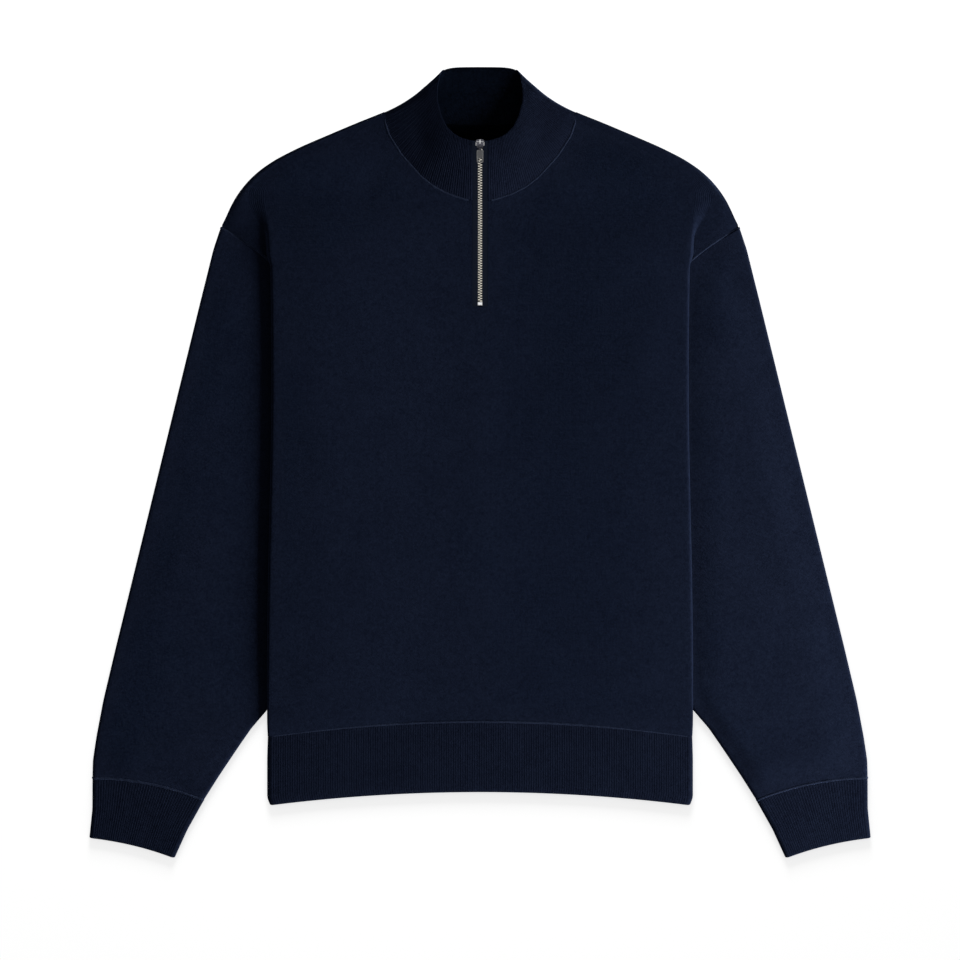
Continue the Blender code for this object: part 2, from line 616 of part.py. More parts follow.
def make_slider(mount):
    """The slider: a plate over a core, and two cheeks that hold the cross pin."""
    top = 1.7 - PIN_HEIGHT
    low, high = -PIN_BACK, SLIDER_LENGTH - PIN_BACK
    plate = box("slider_plate", (-SLIDER_HALF, low, 0.3 - PIN_HEIGHT), (SLIDER_HALF, high, top))
    slider = finish("zip_slider", plate, SILVER, 0.3, 1.0)
    slider.parent = mount
    core = box("slider_core", (-CORE_HALF, low, -2.2 - PIN_HEIGHT), (CORE_HALF, high, 0.8 - PIN_HEIGHT))
    pin = cylinder("slider_pin", PIN_RADIUS, 2 * LUG_HALF - LUG_THICK, ACROSS_ZIP)
    lugs = [box("slider_lug", (x, -1.0, top - 0.5), (x + LUG_THICK, 1.0, 0.9))
            for x in (-LUG_HALF, LUG_HALF - LUG_THICK)]
    combine(slider, [core, *lugs, pin], "UNION")


def make_pull_tab(mount):
    """The pull tab: an eye round the pin, a neck, and a blade with a hole near its end."""
    sleeve = cylinder("pull_sleeve", 1.55, 3.0, ACROSS_ZIP)
    pull = finish("zip_pull_tab", sleeve, SILVER, 0.3, 1.0)
    pull.parent = mount
    pull.rotation_euler = (PULL_DIP, 0, 0)
    blade = box("pull_blade", (-PULL_HALF, -PULL_LENGTH, -PULL_THICK / 2), (PULL_HALF, -3.6, PULL_THICK / 2))
    neck = box("pull_neck", (-1.4, -4.0, -PULL_THICK / 2), (1.4, -1.1, PULL_THICK / 2))
    eye = cylinder("pull_eye", PULL_EYE, 6.0, ACROSS_ZIP)
    hole = cylinder("pull_hole", PULL_HOLE, 6.0, Matrix.Translation((0, HOLE_BACK - PULL_LENGTH, 0)))
    bpy.context.view_layer.update()
    combine(pull, [blade, neck], "UNION")
    combine(pull, [eye, hole], "DIFFERENCE")


for old in list(bpy.data.objects):
    bpy.data.objects.remove(old)
sweater = bpy.data.collections.new("quarter_zip_sweater")
cutters = bpy.data.collections.new("cutters")
for group in (sweater, cutters):
    bpy.context.scene.collection.children.link(group)

make_front()
make_back()
make_sleeve("sleeve_left", 1)
make_sleeve("sleeve_right", -1)
make_cuff("cuff_left", 1)
make_cuff("cuff_right", -1)
make_hem()
make_collar()
make_zip()
pull_pin = pin_mount()
make_slider(pull_pin)
make_pull_tab(pull_pin)
bpy.context.view_layer.update()
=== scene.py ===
"""Looks of a navy quarter zip sweater, laid flat with its front up.

A place in plan is (x, down) in millimetres: across from the centre line, towards the
wearer's left, and down from the collar's top. Meshes and node settings are in metres.
"""
import json
from collections import namedtuple
from math import atan, cos, pi, radians, sin

import bmesh
import bpy
import numpy as np
from mathutils import Matrix, Vector


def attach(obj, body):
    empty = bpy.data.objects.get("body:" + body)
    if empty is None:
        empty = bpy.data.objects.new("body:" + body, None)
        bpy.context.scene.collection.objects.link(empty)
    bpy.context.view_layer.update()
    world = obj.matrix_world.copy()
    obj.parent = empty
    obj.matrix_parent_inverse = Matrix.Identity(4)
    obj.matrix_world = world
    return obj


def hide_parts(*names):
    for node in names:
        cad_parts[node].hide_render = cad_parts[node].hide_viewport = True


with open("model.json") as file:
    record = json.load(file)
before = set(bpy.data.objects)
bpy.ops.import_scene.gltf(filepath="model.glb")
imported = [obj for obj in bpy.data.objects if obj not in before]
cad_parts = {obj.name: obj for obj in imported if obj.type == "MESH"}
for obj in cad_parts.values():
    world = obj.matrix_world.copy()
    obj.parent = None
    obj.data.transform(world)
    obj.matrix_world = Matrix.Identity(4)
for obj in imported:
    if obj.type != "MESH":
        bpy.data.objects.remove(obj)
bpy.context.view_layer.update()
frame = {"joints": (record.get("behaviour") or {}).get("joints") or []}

# ------------------------
# Back panel: one piece of fine, slightly felted navy wool knit. It lies flat on the
# floor between the sleeves, and its edges turn up to meet the front's.
COLLAR_TOP = 395.25  # world Y of the collar's top
WALL = 2.0
RIB_WALL = 2.2
SEAM_GAP = 0.4
BACK_Z = WALL / 2
CELL = 3.4  # mesh size of the smooth knit
CORNER = radians(50)  # a sharper edge than this isn't shaded smooth
WALE = 0.00165  # width of one column of stitches, in metres
COURSE = 0.00125  # height of one row of stitches
NAVY_DEEP = (0.0020, 0.0033, 0.0086)
NAVY_LIGHT = (0.0045, 0.0070, 0.0160)
FIBRE = (0.0125, 0.019, 0.040)
FUZZ = (2400, 3.0, 0.7)  # features in a metre, detail, roughness
FELT = (520, 3.0, 0.65)
PILL = (210, 2.0)
CLOUD = (28, 2.0)
SHEEN_TINT = (0.30, 0.45, 0.90, 1)
PAINTED_SHADE_DEEP = (0.0002, 0.0004, 0.0010)  # painted shade: a near-black copy of the knit, for the back where it lies in the depth of the neck
PAINTED_SHADE_LIGHT = (0.0006, 0.0012, 0.0026)

Edge = namedtuple("Edge", "down x")
OUTLINE = [  # shoulder, sleeve and cuff: down, half width
    (45.7, 95.0), (56.7, 122.8), (68.7, 151.2), (80.7, 179.3),
    (92.7, 203.2), (102.7, 218.3), (112.7, 229.6), (122.7, 238.2),
    (132.7, 245.2), (142.7, 250.5), (152.7, 255.0), (160.7, 259.3),
    (182.7, 266.6), (212.7, 274.0), (232.7, 279.0), (582.7, 364.6),
    (632.7, 376.4), (668.7, 383.2), (692.7, 386.8), (709.9, 387.2),
    (724.7, 386.2), (740.7, 387.3), (756.7, 389.4), (770.2, 390.3),
]
UNDERARM = [  # inner edge of sleeve and cuff: down, half width
    (282.7, 149.0), (382.7, 152.0), (482.7, 160.0), (582.7, 183.0),
    (641.7, 212.0), (660.7, 228.4), (676.7, 239.5), (692.7, 250.3),
    (708.7, 261.0), (732.2, 275.8), (740.7, 281.1), (756.7, 289.6),
    (772.7, 297.3), (790.2, 305.2),
]
SHOULDER_POINT = Edge(160.7, 259.3)
UNDERARM_POINT = Edge(282.7, 149.0)
ARMHOLE_BOW = 15.5
SIDE_HALF = 212.0  # half of the body's width at its lowest side folds
HEM_HALF = 212.6
HEM_SEAM = 669.2  # down to the hem seam at the sides
HEM_SEAM_BOW = 15.0
BODY_TOP = 45.7
BODY_FOOT = HEM_SEAM - HEM_SEAM_BOW
BACK_NECK = 58.5  # down to the middle of the back's neck edge
NECK_SIDE = Edge(48.2, 93.8)  # where the neck seam meets the shoulder
TUCK_Z = 7.3  # the strip of the front that turns under, above the sleeve
TO_HEM = 600.0  # from here down the rows bend to follow the hem seam
OVER_SLEEVE = (240.0, 300.0)  # the back's edge rises onto the sleeve between these
OFF_SLEEVE = (600.0, 641.0)  # and comes down again between these
NECK_PAINTED_SHADE = Edge(150.0, 92.0)  # the part of the back that takes the painted shade of the neck
ABOVE_NECK = 20.0  # a line above both panels, where a cut may end
FAR_BELOW = -30.0  # a cut goes through from here up

Crease = namedtuple("Crease", "x down to_x to_down width lift")
BACK_CREASES = [
    (-120, 95, -70, 170, 18, 0.7), (110, 110, 60, 190, 20, 0.6), (-100, 300, -20, 380, 22, 0.7),
    (90, 420, 10, 500, 24, 0.6), (-110, 590, 40, 622, 13, 0.8), (70, 615, 150, 598, 12, 0.6),
]


def place(x, down, z):
    """A plan point and a height, as metres in the frame."""
    return Vector((x, COLLAR_TOP - down, z)) * 0.001


def smooth(low, high, value):
    """Rise gently from 0 at low to 1 at high."""
    t = np.clip((np.asarray(value, float) - low) / (high - low), 0.0, 1.0)
    return t * t * (3 - 2 * t)


def eased(at, values, reach=0.015):
    """A function that reads a table as one curve with its corners eased."""
    fine = np.linspace(at[0], at[-1], 1001)
    half = round(reach * 1000)
    window = np.hanning(2 * half + 3)[1:-1]
    line = np.pad(np.interp(fine, at, values), half, mode="reflect", reflect_type="odd")
    line = np.convolve(line, window / window.sum(), "valid")
    return lambda t: np.interp(t, fine, line)


def edge_curve(table):
    """The half width of a table of edges, as a smooth function of how far down."""
    downs, halves = zip(*table)
    return eased(downs, halves, 0.008)


outline_at = edge_curve(OUTLINE)
underarm_at = edge_curve(UNDERARM)


def bowed(start, end, bow, u):
    """Points along a chord whose middle is lifted by bow, towards the collar."""
    start, end, u = np.array(start, float), np.array(end, float), np.asarray(u)[:, None]
    across = end - start
    lift = np.array((across[1], -across[0])) / np.hypot(*across)
    return start + across * u + lift * bow * 4 * u * (1 - u)


armhole = bowed((UNDERARM_POINT.x, UNDERARM_POINT.down), (SHOULDER_POINT.x, SHOULDER_POINT.down),
                ARMHOLE_BOW, np.linspace(1, 0, 49))


def side_seam_at(down):
    """Half width of the body's cut edge: shoulder, armhole, then the underarm's line."""
    shoulder = outline_at(down)
    hole = np.interp(down, armhole[:, 1], armhole[:, 0])
    side = np.minimum(underarm_at(down), SIDE_HALF - 6.0)
    below = np.where(down < UNDERARM_POINT.down, hole, side)
    return np.where(down <= SHOULDER_POINT.down, shoulder, below)


def hem_seam(x):
    """How far down the hem seam lies, which rises towards the centre line."""
    return HEM_SEAM - HEM_SEAM_BOW * (1 - (np.asarray(x) / HEM_HALF) ** 2)


def back_neck(x):
    """How far down the back's neck edge lies."""
    return BACK_NECK - (BACK_NECK - NECK_SIDE.down) * (x / NECK_SIDE.x) ** 2


def to_hem(points):
    """Bend the lowest rows of a panel, given level, down onto the hem seam."""
    share = smooth(TO_HEM, BODY_FOOT, points[..., 1])
    points[..., 1] += share * (hem_seam(points[..., 0]) - BODY_FOOT - SEAM_GAP)
    return points


def creased(creases, points):
    """Lift or lower the cloth along soft creases, each a straight line that fades out."""
    x, down = points[..., 0], points[..., 1]
    for crease in map(Crease._make, creases):
        run = np.array((crease.to_x - crease.x, crease.to_down - crease.down), float)
        length = np.hypot(*run)
        along = ((x - crease.x) * run[0] + (down - crease.down) * run[1]) / length
        off = ((x - crease.x) * run[1] - (down - crease.down) * run[0]) / length
        fades = [smooth(-crease.width, 2 * crease.width, to_end) for to_end in (along, length - along)]
        points[..., 2] += crease.lift * fades[0] * fades[1] * np.exp(-(off / crease.width) ** 2)
    return points


def mirrored(half):
    """A whole row from its half at +X, whose first point is on the centre line."""
    return np.concatenate((half[:0:-1] * (-1, 1, 1), half))


def run_length(lines):
    """How far along a line each of its points lies, or along many lines by their medians."""
    steps = np.linalg.norm(np.diff(lines, axis=-2), axis=-1)
    return np.concatenate(([0], np.cumsum(np.median(np.atleast_2d(steps), axis=0))))


def unit(vectors):
    """The directions of some vectors."""
    return vectors / np.linalg.norm(vectors, axis=-1, keepdims=True)


def cloth(points):
    """A sheet of cloth through rows of points. Its UV map is the place on it in metres."""
    points = np.asarray(points, float)
    rows, columns = points.shape[:2]
    across = run_length(points) * 0.001
    along = run_length(points.swapaxes(0, 1)) * 0.001
    bm = bmesh.new()
    bmesh.ops.create_grid(bm, x_segments=columns - 1, y_segments=rows - 1, size=0.5)
    grain = bm.loops.layers.uv.new("grain")
    for vert in bm.verts:
        column = round((vert.co.x + 0.5) * (columns - 1))
        row = round((0.5 - vert.co.y) * (rows - 1))
        for loop in vert.link_loops:
            loop[grain].uv = (across[column], -along[row])
        vert.co = place(*points[row, column])
    return bm


def mesh_of(name, bm):
    """The finished mesh of a bmesh, which is then freed."""
    mesh = bpy.data.meshes.new(name)
    bm.to_mesh(mesh)
    bm.free()
    return mesh


def linked(name, data):
    """An object in the scene for a mesh, a lamp or a camera."""
    item = bpy.data.objects.new(name, data)
    bpy.context.scene.collection.objects.link(item)
    return item


def settled(name, bm, material):
    """Make a piece of a bmesh, shaded smooth but for its corners."""
    mesh = mesh_of(name, bm)
    mesh.shade_smooth()
    mesh.set_sharp_from_angle(angle=CORNER)
    mesh.materials.append(material)
    return linked(name, mesh)


def thicken(piece, wall, offset=0.0):
    """Give a sheet its wall, half of it on each side unless offset says otherwise."""
    step = piece.modifiers.new("wall", "SOLIDIFY")
    step.thickness = wall * 0.001
    step.offset = offset


def hoist(bm, made, rise):
    """Move the corners of newly made geometry up."""
    corners = [v for v in made if isinstance(v, bmesh.types.BMVert)]
    bmesh.ops.translate(bm, vec=(0, 0, rise), verts=corners)


def cut_through(piece, outline):
    """Cut a hole of a given plan outline right through a piece."""
    bm = bmesh.new()
    bm.faces.new([bm.verts.new(place(x, down, FAR_BELOW)) for x, down in outline])
    hoist(bm, bmesh.ops.extrude_face_region(bm, geom=bm.faces[:])["geom"], 0.08)
    bmesh.ops.recalc_face_normals(bm, faces=bm.faces)
    shears = linked("shears", mesh_of("shears", bm))
    shears.data.materials.append(piece.data.materials[0])
    step = piece.modifiers.new("opening", "BOOLEAN")
    step.object = shears
    step.solver = "MANIFOLD"
    bpy.context.view_layer.update()
    whole = piece.evaluated_get(bpy.context.evaluated_depsgraph_get())
    piece.data = bpy.data.meshes.new_from_object(whole)
    piece.data.set_sharp_from_angle(angle=CORNER)
    piece.modifiers.clear()
    bpy.data.objects.remove(shears)


def calc(tree, operation, *values):
    """A Math node's output, from numbers or other nodes' outputs."""
    node = tree.nodes.new("ShaderNodeMath")
    node.operation = operation
    for socket, value in zip(node.inputs, values):
        if isinstance(value, (int, float)):
            socket.default_value = value
        else:
            tree.links.new(value, socket)
    return node.outputs[0]


def set_up(node, **values):
    """Set a node's values by the names of its sockets, with _ for a space."""
    for name, value in values.items():
        node.inputs[name.replace("_", " ")].default_value = value


def mottling(tree, scale, detail, roughness=0.5):
    """Noise on the piece's own place, with scale features in a metre."""
    place_node = tree.nodes.new("ShaderNodeTexCoord")
    noise = tree.nodes.new("ShaderNodeTexNoise")
    set_up(noise, Scale=scale, Detail=detail, Roughness=roughness)
    tree.links.new(place_node.outputs["Object"], noise.inputs["Vector"])
    return noise.outputs["Fac"]


def blended(tree, factor, first, second):
    """Mix two colours, each a colour value or another node's output."""
    node = tree.nodes.new("ShaderNodeMix")
    node.data_type = "RGBA"
    tree.links.new(factor, node.inputs["Factor"])
    for socket, value in ((node.inputs["A"], first), (node.inputs["B"], second)):
        if isinstance(value, tuple):
            socket.default_value = (*value, 1)
        else:
            tree.links.new(value, socket)
    return node.outputs["Result"]


def on_grain(tree):
    """The place on the cloth, across the stitches and along them, in metres."""
    grain = tree.nodes.new("ShaderNodeUVMap")
    grain.uv_map = "grain"
    split = tree.nodes.new("ShaderNodeSeparateXYZ")
    tree.links.new(grain.outputs["UV"], split.inputs["Vector"])
    return split.outputs["X"], split.outputs["Y"]


def stitches(tree, wale, course):
    """Height of plain knitting, from 0 to 1: columns of small V shapes."""
    across, along = on_grain(tree)
    column = calc(tree, "MULTIPLY", across, 1 / wale)
    leg = calc(tree, "PINGPONG", column, 0.5)
    crown = calc(tree, "SINE", calc(tree, "MULTIPLY", leg, 2 * pi))
    row = calc(tree, "MULTIPLY_ADD", along, 1 / course, calc(tree, "MULTIPLY", leg, 1.3))
    wave = calc(tree, "SINE", calc(tree, "MULTIPLY", row, 2 * pi))
    return calc(tree, "MULTIPLY", crown, calc(tree, "MULTIPLY_ADD", wave, 0.22, 0.78))


def surface(name, roughness, gloss=0.5):
    """A new material, with its node tree and its main shader."""
    material = bpy.data.materials.new(name)
    material.use_nodes = True
    shader = material.node_tree.nodes["Principled BSDF"]
    set_up(shader, Roughness=roughness, Specular_IOR_Level=gloss)
    return material, material.node_tree, shader


def stand_up(tree, shader, height, distance):
    """Fine relief: a height of 1 stands up by a distance in metres."""
    bump = tree.nodes.new("ShaderNodeBump")
    set_up(bump, Strength=1.0, Distance=distance)
    tree.links.new(height, bump.inputs["Height"])
    tree.links.new(bump.outputs["Normal"], shader.inputs["Normal"])


def knit(name, deep, light, wale=WALE, course=COURSE, relief=0.00020, sheen=0.10, gloss=0.02):
    """Wool knit: stitches, fuzz over them, a heather of lighter fibres, and a soft sheen."""
    material, tree, shader = surface(name, 0.95, gloss)
    set_up(shader, Sheen_Weight=sheen, Sheen_Roughness=0.38, Sheen_Tint=SHEEN_TINT)
    loops = stitches(tree, wale, course)
    fuzz, felt, pill, cloud = (mottling(tree, *grade) for grade in (FUZZ, FELT, PILL, CLOUD))
    tone = calc(tree, "MULTIPLY_ADD", felt, 2.4, -0.7)
    for layer, weight in ((pill, 1.1), (loops, 0.15), (cloud, 0.5)):
        tone = calc(tree, "MULTIPLY_ADD", calc(tree, "SUBTRACT", layer, 0.5), weight, tone)
    navy = blended(tree, tone, deep, light)
    stray = calc(tree, "MULTIPLY", calc(tree, "GREATER_THAN", fuzz, 0.63), 0.28)
    tree.links.new(blended(tree, stray, navy, FIBRE), shader.inputs["Base Color"])
    height = calc(tree, "MULTIPLY_ADD", fuzz, 0.8, calc(tree, "MULTIPLY_ADD", felt, 1.6, loops))
    stand_up(tree, shader, height, relief)
    return material


wool_knit = knit("wool_knit", NAVY_DEEP, NAVY_LIGHT)
# Painted shade: the knit drawn near-black, without sheen, for the back inside the neck.
painted_neck_shade = knit("painted_neck_shade", PAINTED_SHADE_DEEP, PAINTED_SHADE_LIGHT, sheen=0.0, gloss=0.0)
body_downs = np.linspace(BODY_TOP, BODY_FOOT, round((BODY_FOOT - BODY_TOP) / CELL) + 1)


def back_row(down):
    """Half of the back's middle surface at one height, from the centre line to its edge."""
    width = float(side_seam_at(down)) - 2 * SEAM_GAP
    over_sleeve = smooth(*OVER_SLEEVE, down) * (1 - smooth(*OFF_SLEEVE, down))
    x = width * np.linspace(0, 1, 72) ** 0.85
    rise = smooth(width - 13.0, width - 1.0, x)
    z = BACK_Z + (TUCK_Z - WALL - 0.5 - BACK_Z) * over_sleeve * rise
    return np.column_stack((x, np.full_like(x, down), z))


back_grid = to_hem(np.array([mirrored(back_row(down)) for down in body_downs]))
back_grid = creased(BACK_CREASES, back_grid)
back = settled("back_cloth", cloth(back_grid), wool_knit)
thicken(back, WALL)
dip = [(x, back_neck(x) + SEAM_GAP) for x in np.linspace(0, NECK_SIDE.x + 1.8, 17)]
dip.append((dip[-1][0], ABOVE_NECK))
cut_through(back, dip + [(-x, down) for x, down in reversed(dip[1:])])
back.data.materials.append(painted_neck_shade)
# The back's faces inside the neck take the painted shade.
for face in back.data.polygons:
    x, y, z = face.center * 1000
    in_painted_shade = abs(x) < NECK_PAINTED_SHADE.x and y > COLLAR_TOP - NECK_PAINTED_SHADE.down
    face.material_index = int(in_painted_shade and z > 1.5)
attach(back, "garment")
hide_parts("back_panel")

# ------------------------
# Front panel: the same knit, slit at the neck for the zip. Each side turns under along
# a soft fold and runs back to the side seam above the sleeve.
CENTRE_Z = 5.2  # middle of the front's wall on the centre line
HEM_TUCK_Z = 3.4  # the turned-under strip at the hem, above the back
ZIP_HALF = 7.8
ZIP_FOOT = 239.7
STEP = 4.0  # width of the step beside the fold, where it is sharpest
SEAM_PULL = 0.8  # how far the panel rises to its neck seam
SEAM_PULL_REACH = 7.0
STEP_SHARPENS = (118.0, 172.0)  # where along the fold the step beside it gets its width
STRIP_RISES = (150.0, 188.0)  # where the strip beside the fold rises onto the sleeve
EDGE_RISES = (160.7, 176.0)  # where its edge leaves the back
TURNS_UNDER = (185.0, 203.0)  # where it turns under the fold

SIDE_FOLD = [  # down, half width and height of the fold's outside
    (45.7, 82.0, 5.2), (56.7, 106.0, 5.2), (68.7, 132.0, 5.2), (80.7, 158.0, 5.3),
    (92.7, 180.0, 5.4), (102.7, 195.0, 5.5), (112.7, 207.0, 5.6), (122.7, 214.0, 5.8),
    (132.7, 214.0, 6.4), (145.0, 212.0, 7.8), (160.7, 210.5, 9.8), (174.0, 209.5, 11.2),
    (185.0, 209.0, 11.8), (203.0, 209.0, 12.0), (232.7, 208.5, 12.0), (282.7, 208.0, 12.0),
    (330.0, 208.0, 12.0), (382.7, 208.6, 12.0), (440.0, 209.8, 12.0), (500.0, 211.2, 12.0),
    (555.0, 212.0, 11.8), (600.0, 212.4, 11.4), (641.7, 212.4, 9.7), (654.2, 212.0, 6.4),
]
NECK_SEAM = [  # from the zip round to the shoulder
    Edge(133.4, ZIP_HALF), Edge(132.6, 14.0), Edge(126.7, 32.0), Edge(119.5, 46.0),
    Edge(109.7, 58.5), Edge(88.7, 77.5), Edge(68.7, 90.3), Edge(55.5, 94.6), NECK_SIDE,
]
FRONT_CREASES = [
    (-94, 88, -128, 150, 17, -1.0), (98, 92, 132, 140, 18, -0.5), (-188, 150, -120, 205, 14, 0.6),
    (190, 215, 150, 330, 20, 0.8), (-186, 300, -140, 420, 22, 0.6), (40, 290, 5, 430, 26, -0.6),
    (-60, 600, 90, 626, 14, 0.7), (-182, 606, -96, 630, 13, 0.6), (118, 618, 182, 600, 12, 0.7),
    (-30, 480, -110, 540, 24, 0.5), (0, 330, 0, 600, 95, 3.0),
]
fold_downs, *fold_columns = zip(*SIDE_FOLD)
fold_at, fold_z_at = (eased(fold_downs, column, 0.01) for column in fold_columns)


def front_row(down):
    """Half of the front's middle surface at one height, from the centre line to its edge."""
    fold, fold_z = float(fold_at(down)), float(fold_z_at(down))
    edge = float(side_seam_at(down)) - SEAM_GAP
    top, turn, rest = np.linspace(0, 1, 64), np.linspace(0, 1, 13)[1:], np.linspace(0, 1, 19)[1:]
    low_z = CENTRE_Z + 1.5 * smooth(*STRIP_RISES, down)
    end_z = low_z + (BACK_Z + WALL + 0.1 - low_z) * (1 - smooth(*EDGE_RISES, down))
    step = STEP + (0.7 * (edge - fold) - STEP) * (1 - smooth(*STEP_SHARPENS, down))
    open_x = np.concatenate((fold * top, fold + step * turn,
                             fold + step + (edge - fold - step) * rest))
    rise = CENTRE_Z + (fold_z - CENTRE_Z) * smooth(0.08, 0.84, top)
    open_z = np.concatenate((rise,
                             fold_z - (fold_z - low_z) * smooth(0, 1, turn),
                             low_z - (low_z - end_z) * rest ** 4))
    tuck_z = float(np.interp(down, (641.7, BODY_FOOT), (TUCK_Z, HEM_TUCK_Z)))
    radius = (fold_z - tuck_z) / 2
    flat = fold - radius - WALL / 2
    angle = pi / 2 - pi * turn
    tucked_x = np.concatenate((flat * top, flat + radius * np.cos(angle),
                               flat + (min(edge + SEAM_GAP, flat - 0.8) - flat) * rest))
    tucked_z = np.concatenate((rise, fold_z - radius + radius * np.sin(angle),
                               np.full_like(rest, tuck_z)))
    under = smooth(*TURNS_UNDER, down)
    x, z = open_x + (tucked_x - open_x) * under, open_z + (tucked_z - open_z) * under
    return np.column_stack((x, np.full_like(x, down), z))


def plan_of(edges):
    """A table of edges as points in plan."""
    return np.array([(e.x, e.down) for e in edges])


def grown(edges, gap):
    """A line of edges moved outwards, away from the neck."""
    line = plan_of(edges)
    run = np.gradient(line, axis=0)
    return line + unit(np.column_stack((-run[:, 1], run[:, 0]))) * gap


def pulled_to_neck(rows):
    """Lift the rows beside the collar where they come to the neck seam."""
    corners = np.arange(len(NECK_SEAM))
    fine = np.linspace(0, corners[-1], 120)
    seam_x, seam_down = (np.interp(fine, corners, column) for column in plan_of(NECK_SEAM).T)
    off = np.hypot(np.abs(rows[..., :1]) - seam_x, rows[..., 1:2] - seam_down).min(axis=-1)
    rows[..., 2] += SEAM_PULL * np.exp(-(off / SEAM_PULL_REACH) ** 2)


front_grid = to_hem(np.array([mirrored(front_row(down)) for down in body_downs]))
front_grid = creased(FRONT_CREASES, front_grid)
pulled_to_neck(front_grid)
front = settled("front_cloth", cloth(front_grid), wool_knit)
thicken(front, WALL)
neck = grown(NECK_SEAM, SEAM_GAP + 0.2).tolist()
past_neck = (neck[-1][0] + 1.2, neck[-1][1] - 1.2)
slit = [(ZIP_HALF, ZIP_FOOT), (ZIP_HALF, neck[0][1]), *neck[1:], past_neck, (past_neck[0], ABOVE_NECK)]
cut_through(front, slit + [(-x, down) for x, down in reversed(slit)])
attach(front, "garment")
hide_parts("front_panel")

# ------------------------
# Sleeves: a tube of the same knit on each side, pressed flat. The inner part of each
# lies hidden under the body, where it meets the armhole and the underarm.
Station = namedtuple("Station", "inner outer bow height")
SLEEVE = [  # down at the inner and the outer edge, bow between them, height
    (283.1, 161.1, ARMHOLE_BOW, 5.3), (296.0, 182.7, 10.0, 5.4), (330.0, 232.7, 5.0, 5.8),
    (382.7, 300.0, 2.0, 5.8), (440.0, 380.0, 0.0, 5.8), (500.0, 460.0, 0.0, 5.8),
    (555.0, 530.0, 0.0, 5.8), (600.0, 582.7, 0.0, 5.8), (641.7, 622.0, 0.0, 5.8),
    (676.7, 656.0, 1.0, 6.0), (708.7, 688.0, 3.0, 6.4), (731.8, 709.5, 5.5, 6.6),
]
SLEEVE_RINGS = 150
TURN_STEPS = 9  # points round each side edge of a flattened tube
SLEEVE_PUFF = {1: 2.6, -1: 1.0}  # how far each sleeve stands up between its pressed edges
PUFF_REACH = {1: 34.0, -1: 60.0}  # how far from the body it gets there
PUFF_EDGE = 46.0  # how far from the outer edge it starts to go down
SLEEVE_LIT_DEEP = (0.0024, 0.0038, 0.0096)  # a lighter copy of the body's knit: painted light on the sleeves
SLEEVE_LIT_LIGHT = (0.0053, 0.0080, 0.0180)
SLEEVE_CREASES = {
    1: [(222, 196, 264, 224, 9, -0.9), (232, 262, 278, 288, 14, 0.7), (226, 340, 300, 420, 18, 0.6),
        (250, 470, 330, 560, 16, -0.6), (296, 596, 368, 640, 14, 0.6), (266, 700, 362, 672, 9, 0.7)],
    -1: [(226, 212, 268, 258, 12, 0.6), (236, 330, 290, 400, 16, -0.6), (250, 462, 320, 520, 18, 0.6),
         (286, 556, 350, 604, 14, -0.5), (276, 672, 366, 690, 10, 0.8)],
}

# Painted light: the sleeves' knit is the body's, drawn lighter.
lit_sleeve_knit = knit("lit_sleeve_knit", SLEEVE_LIT_DEEP, SLEEVE_LIT_LIGHT)


def flat_ring(start, end, bow, height, inset, top_count, bottom_count, turn_count=TURN_STEPS):
    """The section of a flattened tube: along the floor, round, back over the top, round."""
    span = float(np.hypot(end[0] - start[0], end[1] - start[1]))
    turn = height / 2
    low, high = turn / span, 1 - turn / span
    bottom, top = np.linspace(low, high, bottom_count), np.linspace(high, low, top_count)
    far, near = (np.radians(np.linspace(a, a + 180, turn_count)[1:-1]) for a in (-90, 90))
    reach = (turn - inset) / span
    u = np.concatenate((bottom, high + reach * np.cos(far), top,
                        low + reach * np.cos(near), bottom[:1]))
    z = np.concatenate((
        np.full(bottom_count, inset), turn + (turn - inset) * np.sin(far),
        np.full(top_count, height - inset), turn + (turn - inset) * np.sin(near), (inset,)))
    return np.column_stack((bowed(start, end, bow, u), z))


def read_evenly(table, reach, count):
    """A number of even steps through the rows of a table, with its corners eased."""
    reads = [eased(range(len(table)), column, reach) for column in zip(*table)]
    return [[float(read(t)) for read in reads] for t in np.linspace(0, len(table) - 1, count)]


def tube(rings):
    """Cloth through rings of points, joined where its edges meet, and facing outwards."""
    bm = cloth(rings)
    bmesh.ops.remove_doubles(bm, verts=bm.verts, dist=0.000002)
    bmesh.ops.recalc_face_normals(bm, faces=bm.faces)
    return bm


def sleeve_ring(station, share, side):
    """The outer surface of a sleeve at a station, a share of the way from armhole to cuff."""
    start = (float(underarm_at(station.inner)), station.inner)
    end = (float(outline_at(station.outer)), station.outer)
    ring = flat_ring(start, end, station.bow, station.height, 0.0, 46, 24)
    x, down, z = ring.T
    from_body = 1 - (1 - np.clip((x - fold_at(down) - 1.0) / PUFF_REACH[side], 0, 1)) ** 2
    from_body *= smooth(0.0, 26.0, x - underarm_at(down))
    from_ends = smooth(0.0, 0.15, share) * smooth(0.0, 0.10, 1 - share)
    puff = from_body * smooth(0.0, PUFF_EDGE, outline_at(down) - x) * from_ends
    ring[:, 2] += SLEEVE_PUFF[side] * puff * (z > station.height - 0.01)
    return ring


for side, node in ((1, "sleeve_left"), (-1, "sleeve_right")):
    stations = map(Station._make, read_evenly(SLEEVE, 0.03, SLEEVE_RINGS))
    rings = [sleeve_ring(*ring, side) for ring in zip(stations, np.linspace(0, 1, SLEEVE_RINGS))]
    rings = creased(SLEEVE_CREASES[side], np.array(rings))
    rings[..., 2] = np.maximum(rings[..., 2], 0.0)  # nothing dips under the floor
    sleeve = settled(node + "_cloth", tube(rings * (side, 1, 1)), lit_sleeve_knit)
    thicken(sleeve, WALL, -1.0)
    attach(sleeve, "garment")
    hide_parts(node)

